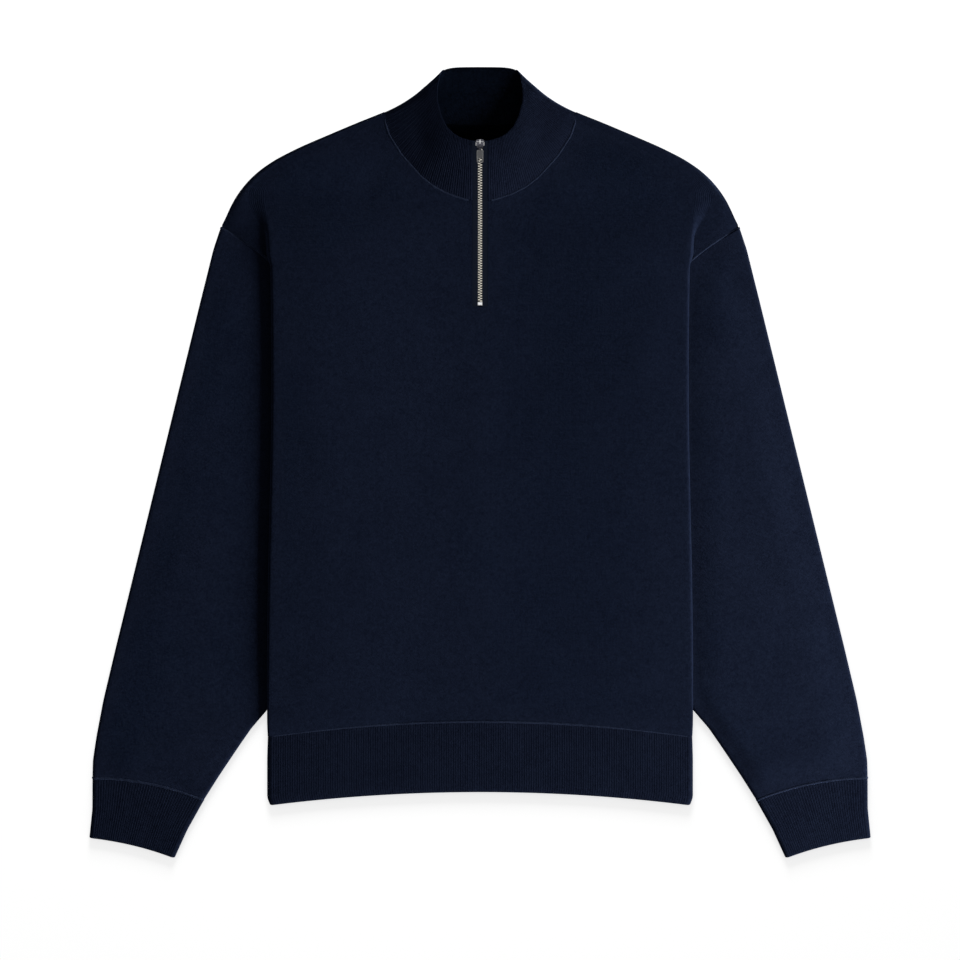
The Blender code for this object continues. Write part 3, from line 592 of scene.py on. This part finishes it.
# ------------------------
# Hem: a band of one-by-one rib all round the body, pressed flat, with a round lower
# edge where the double knit folds over.
RIB_RISE = 0.20
HEM_RIBS = 177
HEM_END = 737.6
STEPS_A_RIB = 6
END_BULGE = 1.1  # how far the fold at the end of double cloth stands out
RIB_STITCHES = {"wale": 0.0024, "course": 0.0013, "relief": 0.00022}  # coarser than the body's
RIB_DEEP = (0.0019, 0.0029, 0.0074)
RIB_LIGHT = (0.0040, 0.0061, 0.0139)

HEM = [  # down, half width, bow, height
    (HEM_SEAM, SIDE_HALF, HEM_SEAM_BOW, 6.9), (690.0, HEM_HALF, 14.5, 7.6),
    (730.0, HEM_HALF, 13.4, 7.4), (HEM_END, 209.6, 13.2, 6.2),
]
rib_knit = knit("rib_knit", RIB_DEEP, RIB_LIGHT, **RIB_STITCHES)


def rib(place_in_ribs):
    """Height of a rib across its width, from 0 in the groove to 1 along its top."""
    return 0.5 - 0.5 * np.cos(2 * pi * np.asarray(place_in_ribs))


def ribbed_ring(start, end, bow, height, inset, ribs, bottom_count):
    """A flattened tube's section, with ribs raised on what shows of its outer surface."""
    count = ribs * STEPS_A_RIB + 1
    ring = flat_ring(start, end, bow, height, inset, count, bottom_count)
    first = bottom_count + TURN_STEPS - 2
    if inset == 0.0:
        ring[first:first + count, 2] += RIB_RISE * rib(np.linspace(0, ribs, count))
    return ring


def folded_wall(outer, inner):
    """Rows of a wall of double cloth: down its outside, round its end, back up its inside."""
    outer, inner = np.array(outer), np.array(inner)
    onward = unit(outer[-1] - outer[-2])
    end = [outer[-1] + (inner[-1] - outer[-1]) * (1 - cos(a)) / 2 + onward * END_BULGE * sin(a)
           for a in np.radians((36, 72, 108, 144))]
    return np.concatenate((outer, end, inner[::-1], outer[:1]))


def hem_rows(inset, count):
    """The hem's rings from its seam down, at an inset from its outer surface."""
    downs, *columns = zip(*HEM)
    reads = [eased(downs, column, 0.06) for column in columns]
    rows = []
    for down in np.linspace(HEM_SEAM, HEM_END - END_BULGE, count):
        half, bow, height = (float(read(down)) for read in reads)
        rows.append(ribbed_ring((-half + inset, down), (half - inset, down), bow, height,
                                inset, HEM_RIBS, 90))
    return rows


hem_wall = folded_wall(hem_rows(0.0, 24), hem_rows(RIB_WALL, 8))
hem = settled("hem_cloth", tube(hem_wall), rib_knit)
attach(hem, "garment")
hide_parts("hem_rib")

# ------------------------
# Cuffs: a short tube of the same rib on the end of each sleeve, double like the hem,
# so that its end is round too.
CUFF_RIBS = 40
CUFF = [  # its inner and outer edge, both x and down, then bow and height
    (275.8, 732.6, 387.2, 710.3, 5.5, 6.0), (292.3, 762.0, 387.3, 741.0, 3.5, 6.6),
    (304.7, 789.2, 390.2, 769.2, 2.7, 5.8),
]


def cuff_rows(inset, count):
    """The cuff's rings from its seam to its end, at an inset from its outer surface."""
    return [ribbed_ring((in_x + inset, in_down), (out_x - inset, out_down), bow, height,
                        inset, CUFF_RIBS, 40)
            for in_x, in_down, out_x, out_down, bow, height in read_evenly(CUFF, 0.08, count)]


for side, node in ((1, "cuff_left"), (-1, "cuff_right")):
    wall = folded_wall(cuff_rows(0.0, 26), cuff_rows(RIB_WALL, 8)) * (side, 1, 1)
    cuff = settled(node + "_cloth", tube(wall), rib_knit)
    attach(cuff, "garment")
    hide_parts(node)

# ------------------------
# Collar: a stand collar of rib, open at the zip. It leans in over the neck, higher at
# the zip than at the sides, and its back lies flat on the floor.
COLLAR_RIBS = 53  # from the zip to one side
BACK_RIM = -0.4
SEAM_Z = 5.7
RIM_Z = 17.0
CORNER_Z = 7.6
CORNER_FALL = 2.1  # how late the rim comes down to its corner
BACK_RIM_Z = 3.2
CORNER_LIFT = 1.6  # the back's rim is that much higher at the side fold
FLARE = 5.0
COLLAR_CROWN = 2.2
INWARD = np.array((-0.7, 0.7))  # across the collar's side fold, in plan
DOWN_FOLD = np.array((0.82, 0.57))  # along that fold, from the rim to the seam
ROLL = 4.8  # how far the rim rolls over at the fold
CORNER_RUN = 10.6  # length along the fold over which the rim turns to the back
COLLAR_RISE = 0.26  # height of the collar's ribs, drawn flatter than the hem's
# A slightly darker copy of the rib's colours: painted shade on the sloping collar.
COLLAR_SHADED_DEEP = (0.0018, 0.0027, 0.0069)
COLLAR_SHADED_LIGHT = (0.0040, 0.0059, 0.0133)
INNER_SHADED_DEEP = (0.0006, 0.0011, 0.0023)  # the collar's inner face, darkened as painted shade in the neck's depth
INNER_SHADED_LIGHT = (0.0022, 0.0037, 0.0076)
RIM = [
    Edge(74.7, ZIP_HALF), Edge(73.6, 13.0), Edge(71.3, 20.0), Edge(67.7, 26.0), Edge(60.7, 32.8),
    Edge(50.7, 37.8), Edge(34.7, 41.8), Edge(22.7, 41.7), Edge(15.0, 40.5), Edge(12.0, 39.7),
]
COLLAR_CREASES = [(66, 50, 50, 92, 11, -1.3), (50, 17, 53, 38, 7, 0.9)]


def line_of(table):
    """A table of edges as a smooth line in plan, read by the share of its length."""
    line = plan_of(table)
    at = run_length(line)
    x, down = (eased(at / at[-1], line[:, k], 0.03) for k in (0, 1))
    return lambda share: np.column_stack((x(share), down(share)))


def collar_z(level, rim_z=RIM_Z):
    """Middle of the collar's wall at a level from 0 at the seam to 1 at the rim."""
    return SEAM_Z * (1 - level) + rim_z * level + COLLAR_CROWN * 4 * level * (1 - level)


seam_line, rim_line = line_of(NECK_SEAM), line_of(RIM)
front_share = np.linspace(0, 1, COLLAR_RIBS * STEPS_A_RIB + 1)


def collar_row(level):
    """Half of the collar's middle surface at one level, from the centre back to the zip."""
    plan = seam_line(front_share) * (1 - level) + rim_line(front_share) * level
    plan += np.outer(front_share ** 3, INWARD) * FLARE * 4 * level * (1 - level)
    rim_z = RIM_Z + (CORNER_Z - RIM_Z) * front_share ** CORNER_FALL
    facing = creased(COLLAR_CREASES, np.column_stack((plan, collar_z(level, rim_z))))
    back_z = RIB_WALL / 2 * (1 - level) + BACK_RIM_Z * level
    lift = CORNER_LIFT * level
    corner = facing[-1]
    radius = (corner[2] - back_z - lift) / 2
    angle = np.radians(np.linspace(90, -90, 13)[1:])
    turned = (1 - np.sin(angle)) / 2
    out = radius * np.cos(angle) + ROLL * level * turned
    run = CORNER_RUN * level ** 3 * turned
    turn = np.column_stack((corner[:2] - np.outer(out, INWARD) - np.outer(run, DOWN_FOLD),
                            back_z + lift + radius + radius * np.sin(angle)))
    share = np.linspace(1, 0, 40)[1:]
    back_down = BACK_NECK * (1 - level) + BACK_RIM * level
    dip = back_down + (turn[-1, 1] - back_down) * share ** (2 + 4 * level)
    behind = np.column_stack((turn[-1, 0] * share, dip, back_z + lift * share ** 6))
    return np.concatenate((facing, turn, behind))[::-1]


def moved_out(grid, distance):
    """Move each point of a grid along its surface's normal."""
    normal = unit(np.cross(np.gradient(grid, axis=1), np.gradient(grid, axis=0)))
    return grid + normal * np.asarray(distance)[..., None]


def cap(bm):
    """Close a mesh's open ends."""
    bmesh.ops.holes_fill(bm, edges=[e for e in bm.edges if e.is_boundary], sides=0)


# The collar's rib carries that painted shade.
shaded_collar_rib = knit("shaded_collar_rib", COLLAR_SHADED_DEEP, COLLAR_SHADED_LIGHT, **RIB_STITCHES)
# Painted shade: a dark copy of the rib, without sheen, for the collar's inner face.
shaded_inner_rib = knit("shaded_inner_rib", INNER_SHADED_DEEP, INNER_SHADED_LIGHT, **RIB_STITCHES, sheen=0.0, gloss=0.0)
collar_levels = np.linspace(0, 0.985, 26)  # the rounded rim makes up the rest
middle = np.array([mirrored(collar_row(level)) for level in collar_levels])
half_ribs = rib(front_share * COLLAR_RIBS)
ribs_across = np.zeros(middle.shape[1])
ribs_across[:len(half_ribs)] = half_ribs[::-1]
ribs_across[-len(half_ribs):] = half_ribs
outside = moved_out(middle, RIB_WALL / 2 + COLLAR_RISE * ribs_across)
collar_wall = folded_wall(outside, moved_out(middle, -RIB_WALL / 2)[::3])
collar_bm = tube(collar_wall)
cap(collar_bm)
to_rim = run_length(collar_wall.swapaxes(0, 1))[len(collar_levels) + 3]
collar_grain = collar_bm.loops.layers.uv["grain"]
# Faces on the inside, past the rim, take the painted shade.
for face in collar_bm.faces:
    face.material_index = int(min(loop[collar_grain].uv.y for loop in face.loops) < -to_rim * 0.001)
collar = settled("collar_cloth", collar_bm, shaded_collar_rib)
collar.data.materials.append(shaded_inner_rib)
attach(collar, "garment")
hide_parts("collar")

# ------------------------
# Linked seams: where two knitted pieces are linked loop by loop, the join stands up as a
# narrow rounded ridge, at the neck, the hem, the cuffs and what shows of the armholes.
SEAM_WIDTH = 2.2
SEAM_HEIGHT = 1.5
LINK_PITCH = 2.2  # length of one linking stitch along the ridge
LINK_SWELL = 0.13  # how much the ridge widens at each stitch
LINK_RISE = 0.08  # and how much higher it gets
RIDGE_STEP = 0.55
RIDGE_Z = 6.6  # middle of a ridge where it lies on the front
FOLD_ROUND = 2.6  # radius of the neck seam's way round the shoulder fold
# The linking yarn is drawn lighter than the knit: painted highlight along the ridges.
LINK_HIGHLIT_DEEP = (0.0050, 0.0072, 0.0155)
LINK_HIGHLIT_LIGHT = (0.0115, 0.0160, 0.0310)

# Painted highlight: a lighter copy of the knit, with more sheen.
highlit_link_knit = knit("highlit_link_knit", LINK_HIGHLIT_DEEP, LINK_HIGHLIT_LIGHT, 0.0013, LINK_PITCH * 0.001, 0.00025, 0.25)


def ridge(name, path, yarn):
    """A rounded ridge of linking stitches along a path of plan points and heights."""
    path = np.asarray(path, float)
    at = run_length(path)
    even = np.linspace(0, at[-1], round(at[-1] / RIDGE_STEP))
    line = np.column_stack([np.interp(even, at, column) for column in path.T])
    run = unit(np.gradient(line, axis=0))
    side = unit(np.cross(run, (0, 0, 1.0)))
    up = np.cross(side, run)
    wave = np.sin(2 * pi * even / LINK_PITCH)
    high = SEAM_HEIGHT / 2 * (1 + LINK_RISE * np.abs(wave))
    rows = []
    for angle in np.linspace(0, 2 * pi, 13):
        wide = SEAM_WIDTH / 2 * (1 + LINK_SWELL * wave * cos(angle))
        rows.append(line + side * (cos(angle) * wide)[:, None] + up * (sin(angle) * high)[:, None])
    bm = tube(rows)
    cap(bm)
    bmesh.ops.recalc_face_normals(bm, faces=bm.faces)
    piece = settled(name, bm, yarn)
    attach(piece, "garment")


neck_down_at, neck_x_at = (eased(range(len(NECK_SEAM)), column, 0.03) for column in zip(*NECK_SEAM))
t = np.linspace(0.55, len(NECK_SEAM) - 1, 160)
neck_z = RIDGE_Z - 0.6 * smooth(6.6, 8.0, t)
neck_ridge = np.column_stack((neck_x_at(t) + 0.2, neck_down_at(t) + 0.2, neck_z))
over_fold = [neck_ridge[-1] + np.array((*-INWARD * cos(a), sin(a) - 1)) * FOLD_ROUND
             for a in np.radians((60, 30, 0, -30))]
shown = armhole[armhole[:, 1] < TURNS_UNDER[1]][::-1]
armhole_z = RIDGE_Z - 2.3 * smooth(0.2, 1.0, np.linspace(0, 1, len(shown)))
in_x, in_down, out_x, out_down, bow, _ = CUFF[0]
cuff_ring = flat_ring((in_x, in_down - 0.2), (out_x, out_down - 0.3), bow, 6.9, 0.3, 60, 20, 15)
for side, word in ((1, "left"), (-1, "right")):
    ridge("neck_seam_" + word, np.concatenate((neck_ridge, over_fold)) * (side, 1, 1), highlit_link_knit)
    ridge("armhole_seam_" + word, np.column_stack((shown, armhole_z)) * (side, 1, 1), highlit_link_knit)
    ridge("cuff_seam_" + word, cuff_ring[26:99] * (side, 1, 1), highlit_link_knit)  # over the top only
back_x = np.linspace(-NECK_SIDE.x + 1, NECK_SIDE.x - 1, 120)
back_z = np.full_like(back_x, 1.5)
# The back's neck seam takes the painted neck shade too.
ridge("neck_seam_back", np.column_stack((back_x, back_neck(back_x), back_z)), painted_neck_shade)
hem_x = np.linspace(-SIDE_HALF + 1.5, SIDE_HALF - 1.5, 200)
hem_z = RIDGE_Z - 1.6 * smooth(205.0, SIDE_HALF, np.abs(hem_x))
ridge("hem_seam", np.column_stack((hem_x, hem_seam(hem_x) - SEAM_GAP / 2, hem_z)), highlit_link_knit)

# ------------------------
# Zip tapes: two strips of woven navy twill, sewn behind the edges of the slit and of
# the collar, from the rim to just under the bottom stop.
TAPE_IN = 1.7  # its inner edge lies inside the teeth
TAPE_OUT = 12.3
TAPE_FOOT = ZIP_FOOT + 2.8
TAPE_THICK = 0.7
TAPE_BELOW = RIB_WALL / 2 + 0.7 + TAPE_THICK / 2  # its middle under that of the collar
TWILL_PITCH = 0.0009  # in metres
HERRINGBONE = 0.0022  # the twill's lines turn back after so many metres across
TAPE_DEEP = (0.0055, 0.0080, 0.0160)
TAPE_LIGHT = (0.0125, 0.0175, 0.0330)


def zip_z(down):
    """Middle of the tape: level in the body, then up behind the collar."""
    level = (NECK_SEAM[0].down - np.asarray(down)) / (NECK_SEAM[0].down - RIM[0].down)
    return collar_z(np.clip(level, 0, 1)) - TAPE_BELOW


def woven_tape():
    """Twill: fine slanting lines across the tape, and a slight shine."""
    material, tree, shader = surface("woven_tape", 0.75, 0.04)
    across, along = on_grain(tree)
    slant = calc(tree, "ADD", calc(tree, "PINGPONG", across, HERRINGBONE), along)
    line = calc(tree, "SINE", calc(tree, "MULTIPLY", slant, 2 * pi / TWILL_PITCH))
    height = calc(tree, "MULTIPLY_ADD", line, 0.5, 0.5)
    tree.links.new(blended(tree, height, TAPE_DEEP, TAPE_LIGHT), shader.inputs["Base Color"])
    stand_up(tree, shader, height, 0.00012)
    return material


tape_weave = woven_tape()
tapes = []
for side, node in ((1, "zip_tape_left"), (-1, "zip_tape_right")):
    downs = np.linspace(RIM[0].down + 0.4, TAPE_FOOT, 120)
    across = np.linspace(TAPE_IN, TAPE_OUT, 9)
    x, down = np.meshgrid(across * side, downs)
    strip = np.stack((x, down, zip_z(down)), axis=2)
    tape = settled(node + "_cloth", cloth(strip), tape_weave)
    thicken(tape, TAPE_THICK)
    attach(tape, "garment")
    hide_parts(node)
    tapes.append(tape)

# ------------------------
# Zip teeth: cast metal teeth in pale gold, clamped to the tapes' edges by turns, so that
# each one's head locks between two of the other side.
TOOTH_PITCH = 2.5
TOOTH_RISE = 0.5  # middle of the teeth above the middle of the tape
FIRST_TOOTH = 83.9
TEETH = 121  # on both sides together
PALE_GOLD = (0.96, 0.92, 0.82)


def metal(name, colour, roughness, streak=0.06):
    """Bright metal with fine wear: the shine varies from place to place."""
    material, tree, shader = surface(name, roughness)
    set_up(shader, Metallic=1.0)
    worn = tuple(c * 0.72 for c in colour)
    wear = mottling(tree, 900, 3.0)
    shine = calc(tree, "MULTIPLY_ADD", wear, 1.6, -0.3)
    tree.links.new(blended(tree, shine, worn, colour), shader.inputs["Base Color"])
    haze = calc(tree, "MULTIPLY_ADD", wear, streak * 4, roughness - streak * 2)
    tree.links.new(haze, shader.inputs["Roughness"])
    return material


def soften_edges(bm, edges, width, segments=1):
    """Take the sharpness off some edges."""
    bmesh.ops.bevel(bm, geom=edges, offset=width, offset_type="OFFSET", segments=segments,
                    profile=0.5, affect="EDGES", material=-1, clamp_overlap=True)


def block(bm, low, high, soften, taper=1.0):
    """A block between two corners, with eased edges; taper narrows its low x end along y."""
    low, high = Vector(low), Vector(high)
    shape = bmesh.ops.create_cube(bm, size=1.0)["verts"]
    bmesh.ops.scale(bm, vec=high - low, verts=shape)
    bmesh.ops.translate(bm, vec=(low + high) / 2, verts=shape)
    for vert in shape:
        if vert.co.x < (low.x + high.x) / 2:
            vert.co.y *= taper
    soften_edges(bm, list({e for v in shape for e in v.link_edges}), soften)


def on_zip(down):
    """The matrix that takes a shape in millimetres to its place along the zip."""
    height = float(zip_z(down)) + TOOTH_RISE
    return Matrix.Translation(place(0, down, height)) @ Matrix.Scale(0.001, 4)


pale_gold = metal("pale_gold", PALE_GOLD, 0.20, 0.03)
tooth_bm = bmesh.new()
block(tooth_bm, (0.3, -0.60, -1.15), (2.2, 0.60, 0.95), 0.12, 0.95)  # the arm, on the tape
block(tooth_bm, (-0.4, -0.50, -0.85), (0.6, 0.50, 1.05), 0.15, 1.1)  # the head
tooth = mesh_of("tooth", tooth_bm)
chain_bm = bmesh.new()
for k in range(TEETH):
    down = FIRST_TOOTH + k * TOOTH_PITCH / 2
    slope = atan(zip_z(down - 0.5) - zip_z(down + 0.5))
    before = set(chain_bm.verts)
    chain_bm.from_mesh(tooth)
    new = [v for v in chain_bm.verts if v not in before]
    turn = Matrix.Rotation(slope, 4, "X") @ Matrix.Rotation(pi * (k % 2), 4, "Z")
    bmesh.ops.transform(chain_bm, matrix=on_zip(down) @ turn, verts=new)
chain = settled("zip_teeth_chain", chain_bm, pale_gold)
chain.data.shade_flat()
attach(chain, "garment")
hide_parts("zip_teeth")

# ------------------------
# Bottom stop: a small box of silver metal, crimped over both tapes at the end of the
# teeth so that the slider can go no further.
SILVER = (0.84, 0.84, 0.85)
SHADED_SILVER = (0.16, 0.16, 0.19)  # painted shade: a dark copy of the silver for the slider's recesses and the pull's neck and knuckle
STOP_DOWN = 236.7  # its middle

bright_silver = metal("bright_silver", SILVER, 0.24)
# Painted shade in the castings' recesses and at the hinge.
shaded_silver = metal("shaded_silver", SHADED_SILVER, 0.38)
stop_bm = bmesh.new()
block(stop_bm, (-2.7, -2.0, -1.4), (2.7, 2.0, 1.2), 0.5)
block(stop_bm, (-2.0, -1.3, 0.9), (2.0, 1.3, 1.4), 0.2)
bmesh.ops.transform(stop_bm, verts=stop_bm.verts, matrix=on_zip(STOP_DOWN))
stop = settled("zip_bottom_stop_box", stop_bm, bright_silver)
stop.data.shade_flat()
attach(stop, "garment")
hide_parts("zip_bottom_stop")

# ------------------------
# Slider: cast silver, wide at the top where the chain parts and narrow below, with two
# cheeks that carry the cross pin of the pull tab.
PIN = Vector(frame["joints"][0]["pos_m"])
PIN_HEIGHT = 3.6  # the pin above the teeth
ZIP_TILT = 0.09477  # slope of the zip behind the collar's rim, in radians
SLIDER_EDGE = [  # half of its outline, from its top end: across, and from the pin up
    (1.0, 7.2), (3.3, 6.9), (4.5, 5.3), (4.4, 3.1), (3.6, 0.4), (3.2, -1.2), (2.5, -1.8),
]
CHEEK_X = 2.3
FLANGE_X = 3.9  # middle of the side walls that press the teeth together
PIN_RADIUS = 0.6


def on_pin(bm, dip=0.0):
    """Bring a shape in millimetres, made about the pin, to its place on the zip."""
    turn = Matrix.Rotation(ZIP_TILT + dip, 4, "X") @ Matrix.Scale(0.001, 4)
    bmesh.ops.transform(bm, verts=bm.verts, matrix=Matrix.Translation(PIN) @ turn)


def plate(bm, half_outline, low, high, soften):
    """A plate with a mirrored outline between two heights, its upper edge rounded."""
    corners = half_outline + [(-x, y) for x, y in reversed(half_outline)]
    face = bm.faces.new([bm.verts.new((x, y, low)) for x, y in corners])
    top = bmesh.ops.extrude_face_region(bm, geom=[face], use_keep_orig=True)["geom"]
    hoist(bm, top, high - low)
    soften_edges(bm, [e for e in top if isinstance(e, bmesh.types.BMEdge)], soften, 3)


def rod(bm, radius, half, soften):
    """A round pin across the slider, with eased ends."""
    made = bmesh.ops.create_cone(bm, cap_ends=True, segments=20, radius1=radius, radius2=radius,
                                 depth=2 * half, matrix=Matrix.Rotation(pi / 2, 4, "Y"))
    ends = {e for v in made["verts"] for e in v.link_edges
            if abs(e.verts[0].co.x - e.verts[1].co.x) < 0.01}
    soften_edges(bm, list(ends), soften, 2)


def cast(low, high, soften):
    """A block of the slider, whose heights count from the teeth up."""
    down_to_teeth = Vector((0, 0, PIN_HEIGHT))
    block(slider_bm, Vector(low) - down_to_teeth, Vector(high) - down_to_teeth, soften)


slider_bm = bmesh.new()
plate(slider_bm, SLIDER_EDGE, 0.3 - PIN_HEIGHT, 1.5 - PIN_HEIGHT, 0.45)
plate(slider_bm, [(x * 0.96, y) for x, y in SLIDER_EDGE], -2.2 - PIN_HEIGHT, -1.3 - PIN_HEIGHT, 0.2)
cast((-1.0, 4.2, -1.6), (1.0, 6.8, 0.6), 0.3)  # the wedge that parts the teeth
rod(slider_bm, PIN_RADIUS, 2.9, 0.2)
for x in (CHEEK_X, -CHEEK_X):
    cast((x - 0.45, -1.25, 1.2), (x + 0.45, 1.15, 4.5), 0.3)
shaded_faces = set(slider_bm.faces)
for x in (FLANGE_X, -FLANGE_X):
    cast((x - 0.4, 0.6, -1.6), (x + 0.4, 4.2, 2.2), 0.25)
cast((-FLANGE_X, 4.2, 1.3), (FLANGE_X, 5.0, 2.4), 0.3)  # one plain ridge across
cast((-0.65, 2.4, 1.4), (0.65, 6.9, 2.8), 0.35)  # and one along
# The plate, wedge, pin and cheeks take the painted shade; the flanges and ridges stay bright silver.
for face in slider_bm.faces:
    face.material_index = int(face not in shaded_faces)
bmesh.ops.recalc_face_normals(slider_bm, faces=slider_bm.faces)
on_pin(slider_bm)
slider = settled("zip_slider_body", slider_bm, shaded_silver)
slider.data.materials.append(bright_silver)
slider.data.shade_flat()
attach(slider, "garment")
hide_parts("zip_slider")

# ------------------------
# Pull tab: a silver blade with a raised border and a hole near its end. It turns freely
# on the slider's pin and rests with its nose on the teeth.
PULL_LENGTH = 16.3
PULL_HALF = 3.3
PULL_DIP = radians(9.6)
EYE_BACK = 2.6  # from the blade's end to the middle of its hole
PULL_GREY = (0.30, 0.30, 0.32)
# A lighter copy of the metal for the raised border: painted highlight.
PULL_RIM_HIGHLIT = (0.62, 0.62, 0.63)
NECK_LENGTH = 3.6  # from the pin to the blade
KNUCKLE = [  # its section, bored for the pin: radius, place across
    (1.0, -1.5), (1.4, -1.5), (1.55, -1.35), (1.55, 1.35), (1.4, 1.5), (1.0, 1.5),
]
BORDER = [  # its section, from the back round to the front: inset, height
    (0.2, -0.5), (0.0, -0.3), (0.0, 0.3), (0.2, 0.5), (0.7, 0.5), (0.85, 0.3),
]
BLADE_SQUARE = 9  # how square the blade's ends are
HOLE_HALF = (2.0, 1.6)  # of the hole, across and along


def oval(bm, half, reach, centre, z, power=2.0, count=40):
    """A closed loop of edges: a circle, or squarer with a higher power."""
    verts = bmesh.ops.create_circle(bm, segments=count, radius=1.0)["verts"]
    for vert in verts:
        across, onward = (abs(c) ** (2 / power) * (1 if c > 0 else -1) for c in vert.co.xy)
        vert.co = (half * across, centre + reach * onward, z)
    return list({e for v in verts for e in v.link_edges})


def bridged(bm, loops):
    """Skin between neighbouring loops of edges."""
    for first, second in zip(loops, loops[1:]):
        bmesh.ops.bridge_loops(bm, edges=first + second)


pull_bm = bmesh.new()
blade_middle, blade_reach = -(PULL_LENGTH + NECK_LENGTH) / 2, (PULL_LENGTH - NECK_LENGTH) / 2
border = [oval(pull_bm, PULL_HALF - inset, blade_reach - inset, blade_middle, z, BLADE_SQUARE)
          for inset, z in BORDER]
bridged(pull_bm, border)
border_faces = set(pull_bm.faces)
for loop in (border[0], border[-1]):
    bmesh.ops.edgeloop_fill(pull_bm, edges=loop)
flat_faces = set(pull_bm.faces) - border_faces
block(pull_bm, (-1.4, -NECK_LENGTH - 0.9, -0.5), (1.4, -1.1, 0.5), 0.2)  # the neck
knuckle = bmesh.new()
rings = [oval(knuckle, radius, radius, 0.0, x, count=24) for radius, x in KNUCKLE]
bridged(knuckle, rings + rings[:1])
bmesh.ops.rotate(knuckle, verts=knuckle.verts, matrix=Matrix.Rotation(pi / 2, 3, "Y"))
pull_bm.from_mesh(mesh_of("knuckle", knuckle))
# The border takes the painted highlight, the blade its grey, and the neck and knuckle the painted
# shade.
for face in pull_bm.faces:
    face.material_index = 1 if face in border_faces else 2 * (face in flat_faces)
bmesh.ops.recalc_face_normals(pull_bm, faces=pull_bm.faces)
on_pin(pull_bm, PULL_DIP)
pull = settled("zip_pull_blade", pull_bm, shaded_silver)
pull.data.materials.append(metal("highlit_pull_rim", PULL_RIM_HIGHLIT, 0.34))
pull.data.materials.append(metal("pull_grey", PULL_GREY, 0.40))
eye_down = COLLAR_TOP - PIN.y * 1000 + (PULL_LENGTH - EYE_BACK) * cos(ZIP_TILT + PULL_DIP)
cut_through(pull, [(HOLE_HALF[0] * cos(a), eye_down + HOLE_HALF[1] * sin(a))
                   for a in np.linspace(0, 2 * pi, 25)[:-1]])
pull.data.shade_flat()
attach(pull, "pull_tab")
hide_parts("zip_pull_tab")

# ------------------------
# Floor, light and camera: a white light table seen straight from above, in an even light,
# with one large soft light from low on the right. The zip's metal, its tapes and the
# table have lamps of their own.
VIEW_HEIGHT = 3.0
VIEW_WIDTH = 0.960
VIEW_CENTRE = (-0.00005, -0.01745)
SENSOR = 36.0
FLOOR_HALF = 7.0
FLOOR_Z = -0.0003
FLOOR_WHITE = (0.90, 0.90, 0.90, 1)
FLOOR_GLOW = 0.690  # the table shines from within
ROOM_LIGHT = 0.22

floor_mesh = bmesh.new()
bmesh.ops.create_grid(floor_mesh, x_segments=1, y_segments=1, size=FLOOR_HALF,
                      matrix=Matrix.Translation((0, 0, FLOOR_Z)))
floor_white, _, floor_shader = surface("floor_white", 1.0, 0.0)
set_up(floor_shader, Base_Color=FLOOR_WHITE, Emission_Color=(1, 1, 1, 1),
       Emission_Strength=FLOOR_GLOW)
floor = settled("floor", floor_mesh, floor_white)

world = bpy.data.worlds.new("studio")
world.use_nodes = True
set_up(world.node_tree.nodes["Background"], Color=(1, 1, 1, 1), Strength=ROOM_LIGHT)
bpy.context.scene.world = world


def softbox(name, position, width, depth, power, lit):
    """An area light that faces the middle of the floor and lights only some pieces."""
    light = bpy.data.lights.new(name, "AREA")
    light.shape = "RECTANGLE"
    light.size = width
    light.size_y = depth
    light.energy = power
    lamp = linked(name, light)
    lamp.location = position
    lamp.rotation_euler = (-Vector(position)).to_track_quat("-Z", "Y").to_euler()
    receivers = bpy.data.collections.new(name + "_receivers")
    for piece in lit:
        receivers.objects.link(piece)
    lamp.light_linking.receiver_collection = receivers


castings = [stop, slider, pull]
others = [floor, chain, *tapes, *castings]
knitted = [o for o in bpy.context.scene.objects if o.type == "MESH" and o not in others]
softbox("key_light", (2.37, -0.77, 0.81), 1.15, 1.15, 247.0, knitted)
softbox("casting_light", (0.0, 0.45, 2.9), 1.2, 1.2, 5.5, castings)
softbox("chain_light", (0.0, -0.55, 2.9), 1.2, 3.2, 7.4, [chain])
softbox("tape_light", (0.0, 0.45, 2.9), 1.2, 1.2, 40.0, tapes)
softbox("table_light", (0.0, 2.1, 0.95), 0.9, 0.9, 28.0, [floor])

camera = bpy.data.cameras.new("camera")
camera.sensor_width = SENSOR
camera.lens = SENSOR * VIEW_HEIGHT / VIEW_WIDTH
eye = linked("camera", camera)
eye.location = (*VIEW_CENTRE, VIEW_HEIGHT)
bpy.context.scene.camera = eye
bpy.context.scene.view_settings.view_transform = "Standard"
